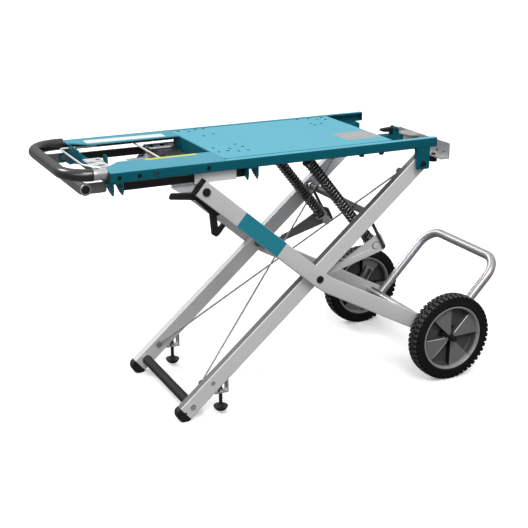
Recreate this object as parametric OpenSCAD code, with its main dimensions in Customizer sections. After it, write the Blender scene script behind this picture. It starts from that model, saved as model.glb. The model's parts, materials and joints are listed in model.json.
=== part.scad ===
// Folding table saw stand: a scissor frame on two wheels and two foot caps,
// with a steel deck above it, compression springs, a pull handle,
// a lever-released deck slide and a rear hoop.
// X runs along the deck (handle at -X, hoop at +X), Y across, Z up.

/* [Scissor frame] */
// Height of the scissor pivot above the ground
pivot_z = 294; // [290:0.5:298]
// Horizontal distance from the scissor pivot to each deck pivot
reach_x = 272; // [270:0.5:274]
// Height of the two deck pivots
hinge_z = 527.5; // [526:0.5:529]
// In-plane width of a leg tube
leg_w = 38; // [36:0.5:38]
// Thickness of a leg tube across the stand
leg_t = 20; // [18:0.5:20]
// Wall of a leg tube
leg_wall = 2; // [1.5:0.25:2.5]
// Inner face of the foot legs, from the mid-plane
y_in = 138; // [138:0.5:138.5]
// Inner face of the wheel legs, from the mid-plane
y_out = 160.5; // [160.5:0.25:161]

/* [Wheels] */
// Wheel diameter
wheel_d = 212; // [208:1:214]
// Tyre width
wheel_w = 37; // [34:0.5:38]
// Distance from the scissor pivot to the axle along X
axle_x = 340.7; // [338:0.5:343]
// Mid-plane of each wheel, from the stand's mid-plane
wheel_y = 206.7; // [206.5:0.1:207.5]
// Axle diameter
axle_d = 12; // [12:1:12]

/* [Deck] */
// Height of the deck's top face
deck_z = 588; // [588:0.5:589]
// Sheet thickness of the deck
sheet = 2.5; // [2:0.25:2.5]
// Height of a side rail below the sheet
rail_h = 19.1; // [18:0.1:19.1]
// Half width of the deck
deck_hw = 172.8; // [172:0.2:173]
// Radius of the saw bolt holes in the deck plate
bolt_r = 3.4; // [3:0.1:4]

/* [Handle and hoop] */
// Outer reach of the foam grip from the scissor pivot
handle_reach = 569; // [566:1:572]
// Outer reach of the rear hoop from the scissor pivot
hoop_reach = 531.5; // [529:0.5:534]
// Diameter of the rear hoop tube
hoop_d = 22; // [21:0.5:22]
// Diameter of the handle tube
handle_d = 23; // [22:0.5:23]
// Diameter of the foam grip
grip_d = 26; // [25:0.5:27]

/* [Springs] */
// Outer diameter of the coil springs
coil_d = 27; // [24:0.5:28]
// Mid-plane of each spring, from the stand's mid-plane
spring_y = 115; // [114:0.5:115]

/* [Hidden] */
$fn = 48;
x_shift = (handle_reach - hoop_reach) / 2;
ang = atan2(hinge_z - pivot_z, reach_x);
link = norm([reach_x, hinge_z - pivot_z]);
axle_z = wheel_d / 2;
rail_z1 = deck_z - sheet;
rail_z0 = rail_z1 - rail_h;
y_in2 = y_in + leg_t;
y_out2 = y_out + leg_t;
// Foot leg: distances along it from the pivot
foot_s = -422;
head_s = link + 17;
foot_bar_s = -400;
cross_s = 192.4;
// Wheel leg: bend, then straight down to the axle
bend_d = 24;
bend_r = 170;
bend_v = [bend_d * cos(ang), pivot_z - bend_d * sin(ang)];
low_v = [axle_x, axle_z] - bend_v;
low_ang = atan2(low_v[1], low_v[0]);
low_len = norm(low_v);
turn = low_ang + ang;
tang = bend_r * tan(turn / 2);
// Spring line, from the deck pin to the trunnion
sp_d = [-6.3, 562];
sp_t = [174, 336];
sp_len = norm(sp_t - sp_d);
sp_ang = atan2(sp_t[1] - sp_d[1], sp_t[0] - sp_d[0]);
// Hoop
hoop_ang = 46.3;
hoop_p = [356, 81];
hoop_y = 149.3;
hoop_bend = 50;
hoop_u = (hoop_reach - hoop_d / 2 - hoop_p[0]) / cos(hoop_ang);
// Handle
handle_y = 153;
handle_z = 583;
handle_bend = 62;
handle_x = -(handle_reach - grip_d / 2);
// Saw bolt patterns: [centre x, centre y, spacing x, spacing y]
PATTERNS = [[-14.5, 25, 379, 236], [1, 22, 280, 250], [0.5, 22, 283, 120], [-25.5, 0, 287, 142]];
EXTRA_HOLES = [[-182, -90], [-182, 130], [-162, -103], [-160, 145], [-200, -52], [-136, -66],
  [111, 149], [157, 130], [173, 118], [118, 92]];

function along(s, a = ang) = [s * cos(a), pivot_z + s * sin(a)];

module place() { translate([x_shift, 0, 0]) children(); }
// Flat shape in the XZ plane, thickened between two Y values
module slab(ya, yb) { translate([0, yb, 0]) rotate([90, 0, 0]) linear_extrude(yb - ya) children(); }
// The same on the near (-1) or far (1) side, with |Y| from ya to yb
module sslab(s, ya, yb) { if (s > 0) slab(ya, yb) children(); else slab(-yb, -ya) children(); }
module ycyl(p, ya, yb, d) { translate([p[0], yb, p[1]]) rotate([90, 0, 0]) cylinder(h = yb - ya, d = d); }
module scyl(s, p, ya, yb, d) { if (s > 0) ycyl(p, ya, yb, d); else ycyl(p, -yb, -ya, d); }
module xbox(a, b) { translate(a) cube(b - a); }
// Box with |Y| from ya to yb on one side
module sbox(s, x0, x1, ya, yb, z0, z1) { translate([x0, s > 0 ? ya : -yb, z0]) cube([x1 - x0, yb - ya, z1 - z0]); }
// Rod between two points
module rod(a, b, d) {
  v = b - a;
  translate(a) rotate([0, acos(v[2] / norm(v)), atan2(v[1], v[0])]) cylinder(h = norm(v), d = d);
}
module rrect(w, h, r) {
  square([w - 2 * r, h], center = true);
  square([w, h - 2 * r], center = true);
  for (i = [-1, 1], j = [-1, 1]) translate([i * (w / 2 - r), j * (h / 2 - r)]) circle(r);
}
// Local z runs along a direction in the XZ plane
module dir(p, a) { translate([p[0], 0, p[1]]) rotate([0, 90 - a, 0]) children(); }
// Leg frame in 2D: x along the foot leg, y square to it
module leg2d() { translate([0, pivot_z]) rotate(ang) children(); }

// ---------- foot frame ----------
module inner_leg(s) {
  difference() {
    dir([0, pivot_z], ang) translate([0, s * (y_in + leg_t / 2), foot_s]) linear_extrude(head_s - foot_s) rrect(leg_w, leg_t, 3);
    dir([0, pivot_z], ang) translate([0, s * (y_in + leg_t / 2), foot_s - 1]) linear_extrude(head_s - foot_s + 2) square([leg_w - 2 * leg_wall, leg_t - 2 * leg_wall], center = true);
    scyl(s, [0, pivot_z], y_in - 1, y_in2 + 1, 12.1);
    scyl(s, [reach_x, hinge_z], y_in - 1, y_in2 + 1, 10.1);
    scyl(s, along(cross_s), y_in - 1, y_in2 + 1, 8);
    scyl(s, along(foot_bar_s), y_in - 1, y_in2 + 1, 8);
    translate([-232, s * (y_in + leg_t / 2), 50]) cylinder(h = 44, d = 10);
  }
}
module inner_leg_near() { color([0.74, 0.75, 0.76]) place() inner_leg(-1); }
module inner_leg_far() { color([0.74, 0.75, 0.76]) place() inner_leg(1); }
module foot_cap(s) {
  sslab(s, y_in, y_in2) intersection() {
    leg2d() translate([foot_s + 1.5, 0]) circle(21.5);
    leg2d() translate([foot_s - 30, -leg_w / 2]) square([30, leg_w]);
    translate([-400, 0]) square([200, 80]);
  }
  dir([0, pivot_z], ang) translate([0, s * (y_in + leg_t / 2), foot_s - 1]) linear_extrude(21) square([leg_w - 2 * leg_wall - 0.4, leg_t - 2 * leg_wall - 0.4], center = true);
}
module foot_caps() { color([0.05, 0.05, 0.05]) place() difference() {
  union() { foot_cap(-1); foot_cap(1); }
  for (s = [-1, 1]) scyl(s, along(foot_bar_s), y_in - 1, y_in2 + 1, 8.4);
} }
module foot_bar() { color([0.6, 0.6, 0.62]) place() difference() {
  union() {
    ycyl(along(foot_bar_s), -y_in, y_in, 19);
    for (s = [-1, 1]) scyl(s, along(foot_bar_s), y_in - 5, y_in, 24);
  }
  ycyl(along(foot_bar_s), -y_in - 1, y_in + 1, 15);
} }
module foot_bar_grip() { color([0.06, 0.06, 0.06]) place() difference() {
  ycyl(along(foot_bar_s), -y_in + 5.5, y_in - 5.5, 23);
  ycyl(along(foot_bar_s), -y_in, y_in, 19.1);
} }
// Cross tube with clearance holes where the two tie rods pass through it
module leg_cross_tube() { color([0.25, 0.25, 0.26]) place() difference() {
  ycyl(along(cross_s), -y_in, y_in, 17);
  ycyl(along(cross_s), -y_in - 1, y_in + 1, 13);
  tie_line(1, -1, -353, 8, 312, 4, 6.3);
  tie_line(-1, 1, -349, 11, 280, 5, 6.3);
} }
// A short sleeve on each side: the tie rods cross between them
module pivot_tube() { color([0.5, 0.5, 0.52]) place() for (s = [-1, 1]) difference() {
  scyl(s, [0, pivot_z], y_in - 32, y_in, 16);
  scyl(s, [0, pivot_z], y_in - 33, y_in + 1, 12.4);
} }
module pivot_bolt() { color([0.08, 0.08, 0.08]) place() {
  for (s = [-1, 1]) {
    scyl(s, [0, pivot_z], y_in - 40, y_out2 + 1, axle_d);
    scyl(s, [0, pivot_z], y_in - 38, y_in - 32.05, 19);
    scyl(s, [0, pivot_z], y_out2 + 0.15, y_out2 + 3, 17);
    scyl(s, [0, pivot_z], y_out2 + 2.5, y_out2 + 4.5, 12);
    // washer between the legs
    scyl(s, [0, pivot_z], y_in2 + 0.1, y_out - 0.1, 32);
  }
} }
// Thin tie rods with flattened ends, crossing between the foot legs
module tie_line(sa, sb, s0, b0, s1, b1, d) {
  n = [-sin(ang), cos(ang)];
  pa = along(s0) + b0 * n;
  pb = along(s1) + b1 * n;
  rod([pa[0], sa * (y_in - 3), pa[1]], [pb[0], sb * (y_in - 3), pb[1]], d);
}
module brace(sa, sb, s0, b0, s1, b1) {
  n = [-sin(ang), cos(ang)];
  pa = along(s0) + b0 * n;
  pb = along(s1) + b1 * n;
  tie_line(sa, sb, s0, b0, s1, b1, 4.5);
  for (q = [[sa, pa], [sb, pb]]) difference() {
    scyl(q[0], q[1], y_in - 4.5, y_in - 0.1, 14);
    scyl(q[0], q[1], y_in - 6, y_in - 4.4, 20);
  }
}
module brace_rods() { color([0.62, 0.62, 0.63]) place() {
  brace(1, -1, -353, 8, 312, 4);
  brace(-1, 1, -349, 11, 280, 5);
} }
// Pressed triangular arms that carry the springs' lower ends
module spring_arms() { color([0.8, 0.8, 0.8]) place() for (s = [-1, 1]) difference() {
  union() {
    sslab(s, y_in - 7.5, y_in - 4.5) union() {
      polygon([[-4, pivot_z - 12], [56, pivot_z - 9], [192, 322], [199, 327], [199, 336], [186, 361], [176, 362], [62, pivot_z + 5], [-4, pivot_z + 12]]);
      translate([0, pivot_z]) circle(13);
      translate([191, 330]) circle(8.5);
    }
    // turned-in edge along the tip
    sslab(s, y_in - 20, y_in - 4.5) polygon([[199, 327], [199.5, 330], [199.5, 336], [187, 361.5], [185, 360], [197, 336], [197, 330]]);
  }
  scyl(s, [0, pivot_z], y_in - 10, y_in, 16.05);
  scyl(s, sp_t, y_in - 10, y_in, 10.1);
} }
module spring_ties() { color([0.2, 0.2, 0.2]) place() for (s = [-1, 1]) difference() {
  sslab(s, y_in - 4.3, y_in - 0.4) union() {
    translate(along(cross_s)) circle(12.5);
    polygon([[142.9, 417.6], [149.1, 421], [196.1, 333.7], [189.9, 330.3]]);
    translate([193, 332]) circle(5);
  }
  scyl(s, along(cross_s), y_in - 6, y_in, 17.1);
} }
function edge_z(x) = pivot_z + x * tan(ang) - leg_w / 2 / cos(ang);
module leveller_brackets() { color([0.78, 0.78, 0.78]) place() for (s = [-1, 1]) difference() {
  union() {
    sslab(s, y_in + 1, y_in2 - 1) polygon([[-249.2, edge_z(-249.2) - 0.05], [-249.2, edge_z(-249.2) - 3], [-216, edge_z(-249.2) - 3], [-216, edge_z(-216) - 0.05], [-219, edge_z(-219) - 0.05], [-219, edge_z(-249.2) - 0.05]]);
    translate([-232, s * (y_in + leg_t / 2), edge_z(-249.2) - 0.1]) cylinder(h = 5, d = 14, $fn = 6);
  }
  translate([-232, s * (y_in + leg_t / 2), 40]) cylinder(h = 42, d = 8.12);
} }
// Button-head bolts through the foot frame
module frame_bolts() { color([0.7, 0.7, 0.72]) place() for (s = [-1, 1]) {
  for (q = [cross_s, foot_bar_s]) difference() {
    union() {
      scyl(s, along(q), y_in2 + 0.05, y_in2 + 2.2, 13);
      scyl(s, along(q), y_in + 0.5, y_in2 + 1, 7.9);
    }
    scyl(s, along(q), y_in2 + 1, y_in2 + 3, 4.6);
  }
  n = [-sin(ang), cos(ang)];
  for (p = [along(s > 0 ? -353 : -331) + (s > 0 ? 8 : 5) * n, along(s > 0 ? 280 : 312) + (s > 0 ? 5 : 4) * n])
    scyl(s, p, y_in2 + 0.05, y_in2 + 2.2, 9);
} }

// ---------- wheel frame ----------
// Outline of the bent leg, h to each side of its centre line, with ends e longer
arc_c = bend_v + tang * [-cos(ang), sin(ang)] + bend_r * [sin(ang), cos(ang)];
top_v = [-(link + 15) * cos(ang), pivot_z + (link + 15) * sin(ang)];
end_v = bend_v + (low_len + 38) * [cos(low_ang), sin(low_ang)];
n_up = [sin(ang), cos(ang)];
n_low = [-sin(low_ang), cos(low_ang)];
function leg_outline(h, e) = concat(
  [top_v - h * n_up + e * [-cos(ang), sin(ang)]],
  [for (i = [0 : 8]) let (a = -90 - ang + i * turn / 8) arc_c + (bend_r + h) * [cos(a), sin(a)]],
  [end_v - h * n_low + e * [cos(low_ang), sin(low_ang)], end_v + h * n_low + e * [cos(low_ang), sin(low_ang)]],
  [for (i = [8 : -1 : 0]) let (a = -90 - ang + i * turn / 8) arc_c + (bend_r - h) * [cos(a), sin(a)]],
  [top_v + h * n_up + e * [-cos(ang), sin(ang)]]);
hoop_hole = [hoop_p[0] + 12 * cos(hoop_ang), hoop_p[1] + 12 * sin(hoop_ang)];
module outer_leg(s) {
  difference() {
    sslab(s, y_out, y_out2) polygon(leg_outline(leg_w / 2, 0));
    sslab(s, y_out + leg_wall, y_out2 - leg_wall) polygon(leg_outline(leg_w / 2 - leg_wall, 2));
    scyl(s, [0, pivot_z], y_out - 1, y_out2 + 1, 12.1);
    scyl(s, [-reach_x, hinge_z], y_out - 1, y_out2 + 1, 10.1);
    scyl(s, [axle_x, axle_z], y_out - 1, y_out2 + 1, axle_d);
    scyl(s, hoop_hole, y_out - 1, y_out2 + 1, 8);
  }
}
module outer_leg_near() { color([0.76, 0.76, 0.77]) place() outer_leg(-1); }
module outer_leg_far() { color([0.76, 0.76, 0.77]) place() outer_leg(1); }
module leg_end_plugs() { color([0.05, 0.05, 0.05]) place() for (s = [-1, 1]) translate([0, s * (y_out + leg_t / 2), 0]) {
  dir([0, pivot_z], 180 - ang) translate([0, 0, link + 15]) {
    linear_extrude(3) rrect(leg_w, leg_t, 3);
    translate([0, 0, -10]) linear_extrude(11) square([leg_w - 2 * leg_wall - 0.3, leg_t - 2 * leg_wall - 0.3], center = true);
  }
  dir(bend_v, low_ang) translate([0, 0, low_len + 38]) {
    linear_extrude(3) rrect(leg_w, leg_t, 3);
    translate([0, 0, -5.5]) linear_extrude(6.5) square([leg_w - 2 * leg_wall - 0.3, leg_t - 2 * leg_wall - 0.3], center = true);
  }
} }
module axle() { color([0.7, 0.7, 0.72]) place() ycyl([axle_x, axle_z], -wheel_y - 26, wheel_y + 26, axle_d); }
module axle_tube() { color([0.72, 0.72, 0.73]) place() difference() {
  ycyl([axle_x, axle_z], -y_out + 0.05, y_out - 0.05, 20);
  ycyl([axle_x, axle_z], -y_out - 1, y_out + 1, axle_d + 0.02);
} }
module hoop_path(d, inset) {
  translate([hoop_p[0], 0, hoop_p[1]]) rotate([0, -hoop_ang, 0]) {
    for (s = [-1, 1]) {
      translate([inset, s * hoop_y, 0]) rotate([0, 90, 0]) cylinder(h = hoop_u - hoop_bend - inset, d = d);
      translate([hoop_u - hoop_bend, s * (hoop_y - hoop_bend), 0]) rotate([0, 0, s > 0 ? 0 : -90]) rotate_extrude(angle = 90, $fn = 96) translate([hoop_bend, 0]) circle(d = d);
    }
    translate([hoop_u, hoop_y - hoop_bend, 0]) rotate([90, 0, 0]) cylinder(h = 2 * (hoop_y - hoop_bend), d = d);
  }
}
module rear_hoop() { color([0.82, 0.82, 0.83]) place() difference() {
  hoop_path(hoop_d, 0);
  hoop_path(hoop_d - 4, 30);
  for (s = [-1, 1]) scyl(s, hoop_hole, hoop_y - 6, y_out, 7.9);
} }
// Axle spacers and nuts, hoop bolts and saddles
module wheel_frame_fasteners() { color([0.08, 0.08, 0.08]) place() for (s = [-1, 1]) {
  difference() {
    union() {
      scyl(s, [axle_x, axle_z], y_out2 + 0.05, wheel_y - 20.3, 22);
      scyl(s, [axle_x, axle_z], wheel_y + 20.3, wheel_y + 24.5, 17);
    }
    scyl(s, [axle_x, axle_z], y_out2 - 1, wheel_y + 30, axle_d + 0.02);
  }
  scyl(s, hoop_hole, hoop_y - 5.5, y_out2 + 1, 7.8);
  scyl(s, hoop_hole, y_out2 + 0.05, y_out2 + 4, 13);
} }
// Small strap loop standing on the far wheel leg
loop_s = 340;
module latch_loop() { color([0.8, 0.8, 0.8]) place() translate([0, y_out + leg_t / 2, 0]) dir(bend_v, low_ang) translate([-leg_w / 2, 0, loop_s]) {
  difference() {
    xbox([-34, -7, -10], [0, 7, 10]);
    xbox([-32, -8, -8], [1, 8, 8]);
  }
} }

// ---------- wheels ----------
module wheel_place(s) { translate([axle_x, s * wheel_y, axle_z]) rotate([90, 0, 0]) children(); }
module tyre(s) { wheel_place(s) rotate_extrude($fn = 96) intersection() {
  translate([wheel_d / 2 - 20, 0]) rrect(40, wheel_w, 8);
  translate([80, -40]) square([60, 80]);
} }
module rim(s) { wheel_place(s) rotate_extrude($fn = 96) polygon([[axle_d / 2 + 0.05, -20], [15, -20], [15, -6], [70, -8], [70, -17], [79.9, -17], [79.9, 17], [70, 17], [70, 8], [15, 6], [15, 20], [axle_d / 2 + 0.05, 20]]); }
module tyre_near() { color([0.07, 0.07, 0.07]) place() tyre(-1); }
module tyre_far() { color([0.07, 0.07, 0.07]) place() tyre(1); }
module rim_near() { color([0.36, 0.36, 0.37]) place() rim(-1); }
module rim_far() { color([0.36, 0.36, 0.37]) place() rim(1); }

// ---------- carriage ----------
rail_y = 147;
car_x0 = -287;
car_x1 = -192;
rail_z = [544, 560];
module carriage(s) {
  difference() {
    union() {
      sbox(s, car_x0, car_x1, rail_y - 8.9, rail_y + 8.9, rail_z[0] - 2.9, rail_z[1] + 2.9);
      // inward ledge that the cross plate's bolts come up through
      sbox(s, -286, -234, 112, rail_y - 8, rail_z[1] + 0.4, rail_z[1] + 2.9);
      sslab(s, rail_y - 8.9, rail_y - 2.4) union() {
        polygon([[-287, 543], [-248, 543], [-263, 521], [-281, 521], [-287, 530]]);
        translate([-reach_x, hinge_z]) circle(11);
      }
      sslab(s, rail_y - 8.9, rail_y - 5.4) polygon([[-337, 536.5], [-319, 523], [-281, 520], [-281, 536.5]]);
    }
    sbox(s, car_x0 - 1, car_x1 + 1, rail_y - 6.4, rail_y + 6.4, rail_z[0] - 0.4, rail_z[1] + 0.4);
    scyl(s, [-reach_x, hinge_z], rail_y - 12, rail_y, 10);
  }
}
module carriages() { color([0.85, 0.85, 0.85]) place() { carriage(-1); carriage(1); } }
module carriage_plate() { color([0.35, 0.35, 0.35]) place() {
  difference() {
    union() {
      xbox([-286, -rail_y + 8.95, 556], [-226, rail_y - 8.95, 558.5]);
      xbox([-228.5, -rail_y + 8.95, 546], [-226, rail_y - 8.95, 557]);
      xbox([-286, -rail_y + 8.95, 546], [-283.5, rail_y - 8.95, 557]);
    }
    for (y = [-70, 70]) translate([-252, y, 540]) cylinder(h = 40, d = 9);
  }
  for (y = [52, 92]) xbox([-285.9, y - 8, 557], [-276, y + 8, 563]);
} }
module slide_pins() { color([0.08, 0.08, 0.08]) place() for (s = [-1, 1]) {
  scyl(s, [-reach_x, hinge_z], rail_y - 11, y_out2 + 1, 9.98);
  scyl(s, [-reach_x, hinge_z], y_out2 + 0.15, y_out2 + 3.5, 18);
  scyl(s, [-reach_x, hinge_z], y_out2 + 3, y_out2 + 4.5, 13);
  scyl(s, [-reach_x, hinge_z], rail_y - 13, rail_y - 9, 15);
} }
// Storage hook and finger tab on the near wheel leg
module hook_lever() { color([0.05, 0.05, 0.05]) place() difference() {
  sslab(-1, rail_y + 1.5, y_out - 1) union() {
    polygon([[-344, 514.5], [-341, 523], [-337.6, 525.8], [-288, 521], [-281, 530], [-272, 534], [-262, 531], [-250, 520], [-223, 483], [-232.8, 468.2], [-239.9, 467], [-237.5, 443], [-233.5, 439], [-225.5, 447], [-219.5, 442], [-235, 423.5], [-242, 420.5], [-249, 425], [-254, 472.7], [-288, 507]]);
  }
  scyl(-1, [-reach_x, hinge_z], rail_y - 5, y_out + 2, 10.1);
} }

// ---------- deck ----------
rail_x0 = -474.5;
rail_x1 = 301;
module bolt_holes(z0, z1, r) {
  for (p = PATTERNS, i = [-1, 1], j = [-1, 1]) translate([p[0] + i * p[2] / 2, p[1] + j * p[3] / 2, z0]) cylinder(h = z1 - z0, r = r);
}
module side_rail(s) {
  difference() {
    sbox(s, rail_x0, rail_x1, deck_hw - 12, deck_hw, rail_z0, rail_z1);
    sbox(s, rail_x0 - 1, rail_x1 + 1, deck_hw - 20, deck_hw - 2.5, rail_z0 + 2.5, rail_z1 - 2);
    for (x = [-456, -413, -377, -262]) scyl(s, [x, 575.5], deck_hw - 4, deck_hw + 1, 8);
  }
  // top strip of the open right end, level with the deck
  sbox(s, 195.1, rail_x1, deck_hw - 12, deck_hw, rail_z1, deck_z);
}
module side_rail_near() { color([0.06, 0.37, 0.46]) place() side_rail(-1); }
module side_rail_far() { color([0.06, 0.37, 0.46]) place() side_rail(1); }
plate_x0 = -219;
plate_x1 = 195;
module deck_plate() { color([0.4, 0.72, 0.8]) place() difference() {
  union() {
    xbox([plate_x0, -deck_hw, rail_z1], [plate_x1, deck_hw, deck_z]);
    xbox([plate_x0, -deck_hw + 35.3, 549], [plate_x0 + 2.5, deck_hw - 35.3, deck_z - 1]);
    xbox([plate_x1 - 2.5, -deck_hw + 13, 567], [plate_x1, deck_hw - 13, deck_z - 1]);
  }
  bolt_holes(rail_z1 - 5, deck_z + 5, bolt_r);
  for (p = EXTRA_HOLES) translate([p[0], p[1], rail_z1 - 5]) cylinder(h = 12, r = bolt_r);
  translate([plate_x1 - 4, sup_y - 12.2, 560]) cube([6, 24.4, 8.4]);
} }
module deck_flanges() { color([0.4, 0.72, 0.8]) place() {
  translate([0, 0, rail_z1]) linear_extrude(sheet) polygon([[rail_x0, -deck_hw], [plate_x0 - 0.6, -deck_hw], [plate_x0 - 0.6, -83], [-430, -83], [-469, -125], [rail_x0, -128]]);
  translate([0, 0, rail_z1]) linear_extrude(sheet) polygon([[rail_x0, deck_hw], [plate_x0 - 0.6, deck_hw], [plate_x0 - 0.6, 100], [-430, 100], [-462, 128], [rail_x0, 130]]);
} }
// Flange pair across the deck with deep pointed ends
module channel(x0, x1) {
  for (x = [x0, x1]) translate([x, 0, 0]) rotate([90, 0, 90]) linear_extrude(2.5)
    polygon([[-deck_hw + 0.5, rail_z0 - 0.05], [-deck_hw + 0.5, 548], [-deck_hw + 6, 538.5], [-145, 548], [-136, 556], [136, 556], [145, 548], [deck_hw - 6, 538.5], [deck_hw - 0.5, 548], [deck_hw - 0.5, rail_z0 - 0.05]]);
  xbox([x0, -deck_hw + 0.5, rail_z0 - 2.5], [x1 + 2.5, deck_hw - 0.5, rail_z0 - 0.05]);
}
module cross_channel_left() { color([0.05, 0.33, 0.42]) place() {
  channel(-470.5, -450);
  // upright gussets that guide the lock bar
  for (s = [-1, 1]) difference() {
    translate([-470.5, 0, 0]) rotate([90, 0, 90]) linear_extrude(2.5) polygon(s > 0 ? [[46, rail_z0 - 1], [46, 578], [60, 585.4], [150, 585.4], [150, rail_z0 - 1]] : [[-98, rail_z0 - 1], [-102, 574], [-112, 582], [-150, 582], [-150, rail_z0 - 1]]);
    translate([-475, s * 132, 577]) rotate([0, 90, 0]) cylinder(h = 10, d = 8);
  }
  // upright tab in front of the latch bracket
  xbox([-448, -14, rail_z0 - 2.5], [-427.5, 14, rail_z0 - 0.05]);
  difference() {
    translate([-430, 0, 0]) rotate([90, 0, 90]) linear_extrude(2.5) polygon([[-14, rail_z0 - 1], [-14, 581], [-10, 585], [10, 585], [14, 581], [14, rail_z0 - 1]]);
    translate([-432, 4, 577]) rotate([0, 90, 0]) cylinder(h = 6, d = 6.5);
  }
} }
// Plated bracket with two ears over the left channel
module latch_bracket() { color([0.8, 0.8, 0.8]) place() {
  difference() {
    union() {
      xbox([-479, -72, 575], [-441, -30, 577.5]);
      xbox([-475, -16, 575], [-437, 13, 577.5]);
      xbox([-460, -72, rail_z0], [-457.5, 13, 577.5]);
    }
    translate([-470, -54, 570]) cylinder(h = 10, d = 8);
    translate([-448, -4, 570]) cylinder(h = 10, d = 7);
  }
} }
module cross_channel_middle() { color([0.05, 0.33, 0.42]) place() channel(-172, -149.5); }
module slide_rails() { color([0.08, 0.08, 0.08]) place() for (s = [-1, 1]) difference() {
  sbox(s, -447.4, -172.1, rail_y - 6, rail_y + 6, rail_z[0], rail_z[1]);
  sbox(s, -440, -178, rail_y + 4.5, rail_y + 8, 550, 554);
} }
module hinge_brackets() { color([0.05, 0.35, 0.44]) place() for (s = [-1, 1]) difference() {
  union() {
    sslab(s, deck_hw - 2.8, deck_hw - 0.3) union() {
      polygon([[252, rail_z0 - 0.05], [285, rail_z0 - 0.05], [285, 519], [282.5, 516.5], [253, 516.5], [250, 519.5], [249, 536], [252, 541]]);
    }
    sslab(s, y_in - 3.2, y_in - 0.6) polygon([[248, rail_z0 - 0.05], [281, rail_z0 - 0.05], [281, 519], [278.5, 516.5], [250.5, 516.5], [248, 519]]);
    sbox(s, 282.5, 285, y_out - 1, deck_hw - 0.3, 523, rail_z0 - 0.05);
    sbox(s, 252, 254.5, y_out - 1, deck_hw - 0.3, 540, rail_z0 - 0.05);
    sbox(s, 248, 285, y_in - 3.2, deck_hw - 0.3, rail_z0 - 2.6, rail_z0 - 0.05);
    scyl(s, [reach_x, hinge_z], y_in2 + 0.4, deck_hw - 1, 20);
  }
  scyl(s, [reach_x, hinge_z], y_in - 10, deck_hw + 5, 10);
} }
module hinge_pins() { color([0.1, 0.1, 0.1]) place() for (s = [-1, 1]) {
  scyl(s, [reach_x, hinge_z], y_in - 4.5, deck_hw + 1, 9.98);
  scyl(s, [reach_x, hinge_z], deck_hw - 0.25, deck_hw + 2.2, 15);
  scyl(s, [reach_x, hinge_z], y_in - 6, y_in - 3.3, 14);
} }
module spring_mounts() { color([0.06, 0.06, 0.06]) place() for (s = [-1, 1]) {
  difference() {
    for (q = [[102, 105.5], [124.5, 128]]) sslab(s, q[0], q[1]) union() {
      polygon([[-30, rail_z1 - 0.05], [20, rail_z1 - 0.05], [sp_d[0] + 9, sp_d[1]], [sp_d[0] - 9, sp_d[1]]]);
      translate(sp_d) circle(9);
    }
    scyl(s, sp_d, 95, 135, 8);
  }
  sbox(s, -30, 20, 102, 128, rail_z1 - 3, rail_z1 - 0.05);
  scyl(s, sp_d, 99, 131, 7.98);
  scyl(s, sp_d, 128.05, 131, 13);
  scyl(s, sp_d, 99, 101.95, 13);
} }
module handle_path(d, di, x_end, a0, f) {
  translate([0, 0, handle_z]) {
    for (s = [-1, 1]) {
      if (a0 == 0) translate([handle_x + handle_bend, s * handle_y, 0]) rotate([0, 90, 0]) linear_extrude(x_end - handle_x - handle_bend) ring2d(d, di);
      translate([handle_x + handle_bend, s * (handle_y - handle_bend), 0]) rotate([0, 0, s > 0 ? 90 + a0 : 180]) rotate_extrude(angle = 90 - a0, $fn = f) translate([handle_bend, 0]) ring2d(d, di);
    }
    translate([handle_x, handle_y - handle_bend, 0]) rotate([90, 0, 0]) linear_extrude(2 * (handle_y - handle_bend)) ring2d(d, di);
  }
}
module ring2d(d, di) { difference() { circle(d = d); circle(d = di); } }
module handle_tube() { color([0.82, 0.82, 0.83]) place() handle_path(handle_d, handle_d - 4, -477.05, 0, 96); }
module handle_grip() { color([0.07, 0.07, 0.07]) place() translate([0, 0, handle_z]) {
  translate([handle_x + handle_bend, -(handle_y - handle_bend), 0]) rotate([0, 0, 180.02]) rotate_extrude(angle = 81.58) translate([handle_bend, 0]) ring2d(grip_d, handle_d + 0.4);
  translate([handle_x + handle_bend, handle_y - handle_bend, 0]) rotate([0, 0, 90.02]) rotate_extrude(angle = 89.96) translate([handle_bend, 0]) ring2d(grip_d, handle_d + 0.4);
  // the far end of the foam runs on up to the rail
  translate([handle_x + handle_bend, handle_y, 0]) rotate([0, 90, 0]) linear_extrude(12) ring2d(grip_d, handle_d + 0.4);
  translate([handle_x, handle_y - handle_bend, 0]) rotate([90, 0, 0]) linear_extrude(2 * (handle_y - handle_bend)) ring2d(grip_d, handle_d + 0.4);
} }
module lever_brackets() { color([0.1, 0.3, 0.36]) place() for (s = [-1, 1]) difference() {
  sslab(s, 136.7, 140.4) polygon([[-491, 550], [-488, 547.5], [-476, 547.5], [-476, 559.5], [-470.6, 559.5], [-470.6, 563], [-491, 563]]);
  scyl(s, lev_p, 130, 145, 8.1);
} }
module rail_caps() { color([0.05, 0.2, 0.25]) place() for (s = [-1, 1]) {
  sbox(s, rail_x0 - 2.5, rail_x0 - 0.05, handle_y - 11, deck_hw - 0.3, rail_z0 + 0.3, deck_z - 0.3);
  sbox(s, rail_x1 + 0.05, rail_x1 + 2.5, deck_hw - 12.3, deck_hw - 0.3, rail_z0 + 0.3, deck_z - 0.3);
} }
module bumpers() { color([0.03, 0.03, 0.03]) place() for (s = [-1, 1], x = [109, 160])
  translate([x, s * (deck_hw - 8), rail_z0 - 6]) cylinder(h = 5.95, d1 = 10, d2 = 13);
}
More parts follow.
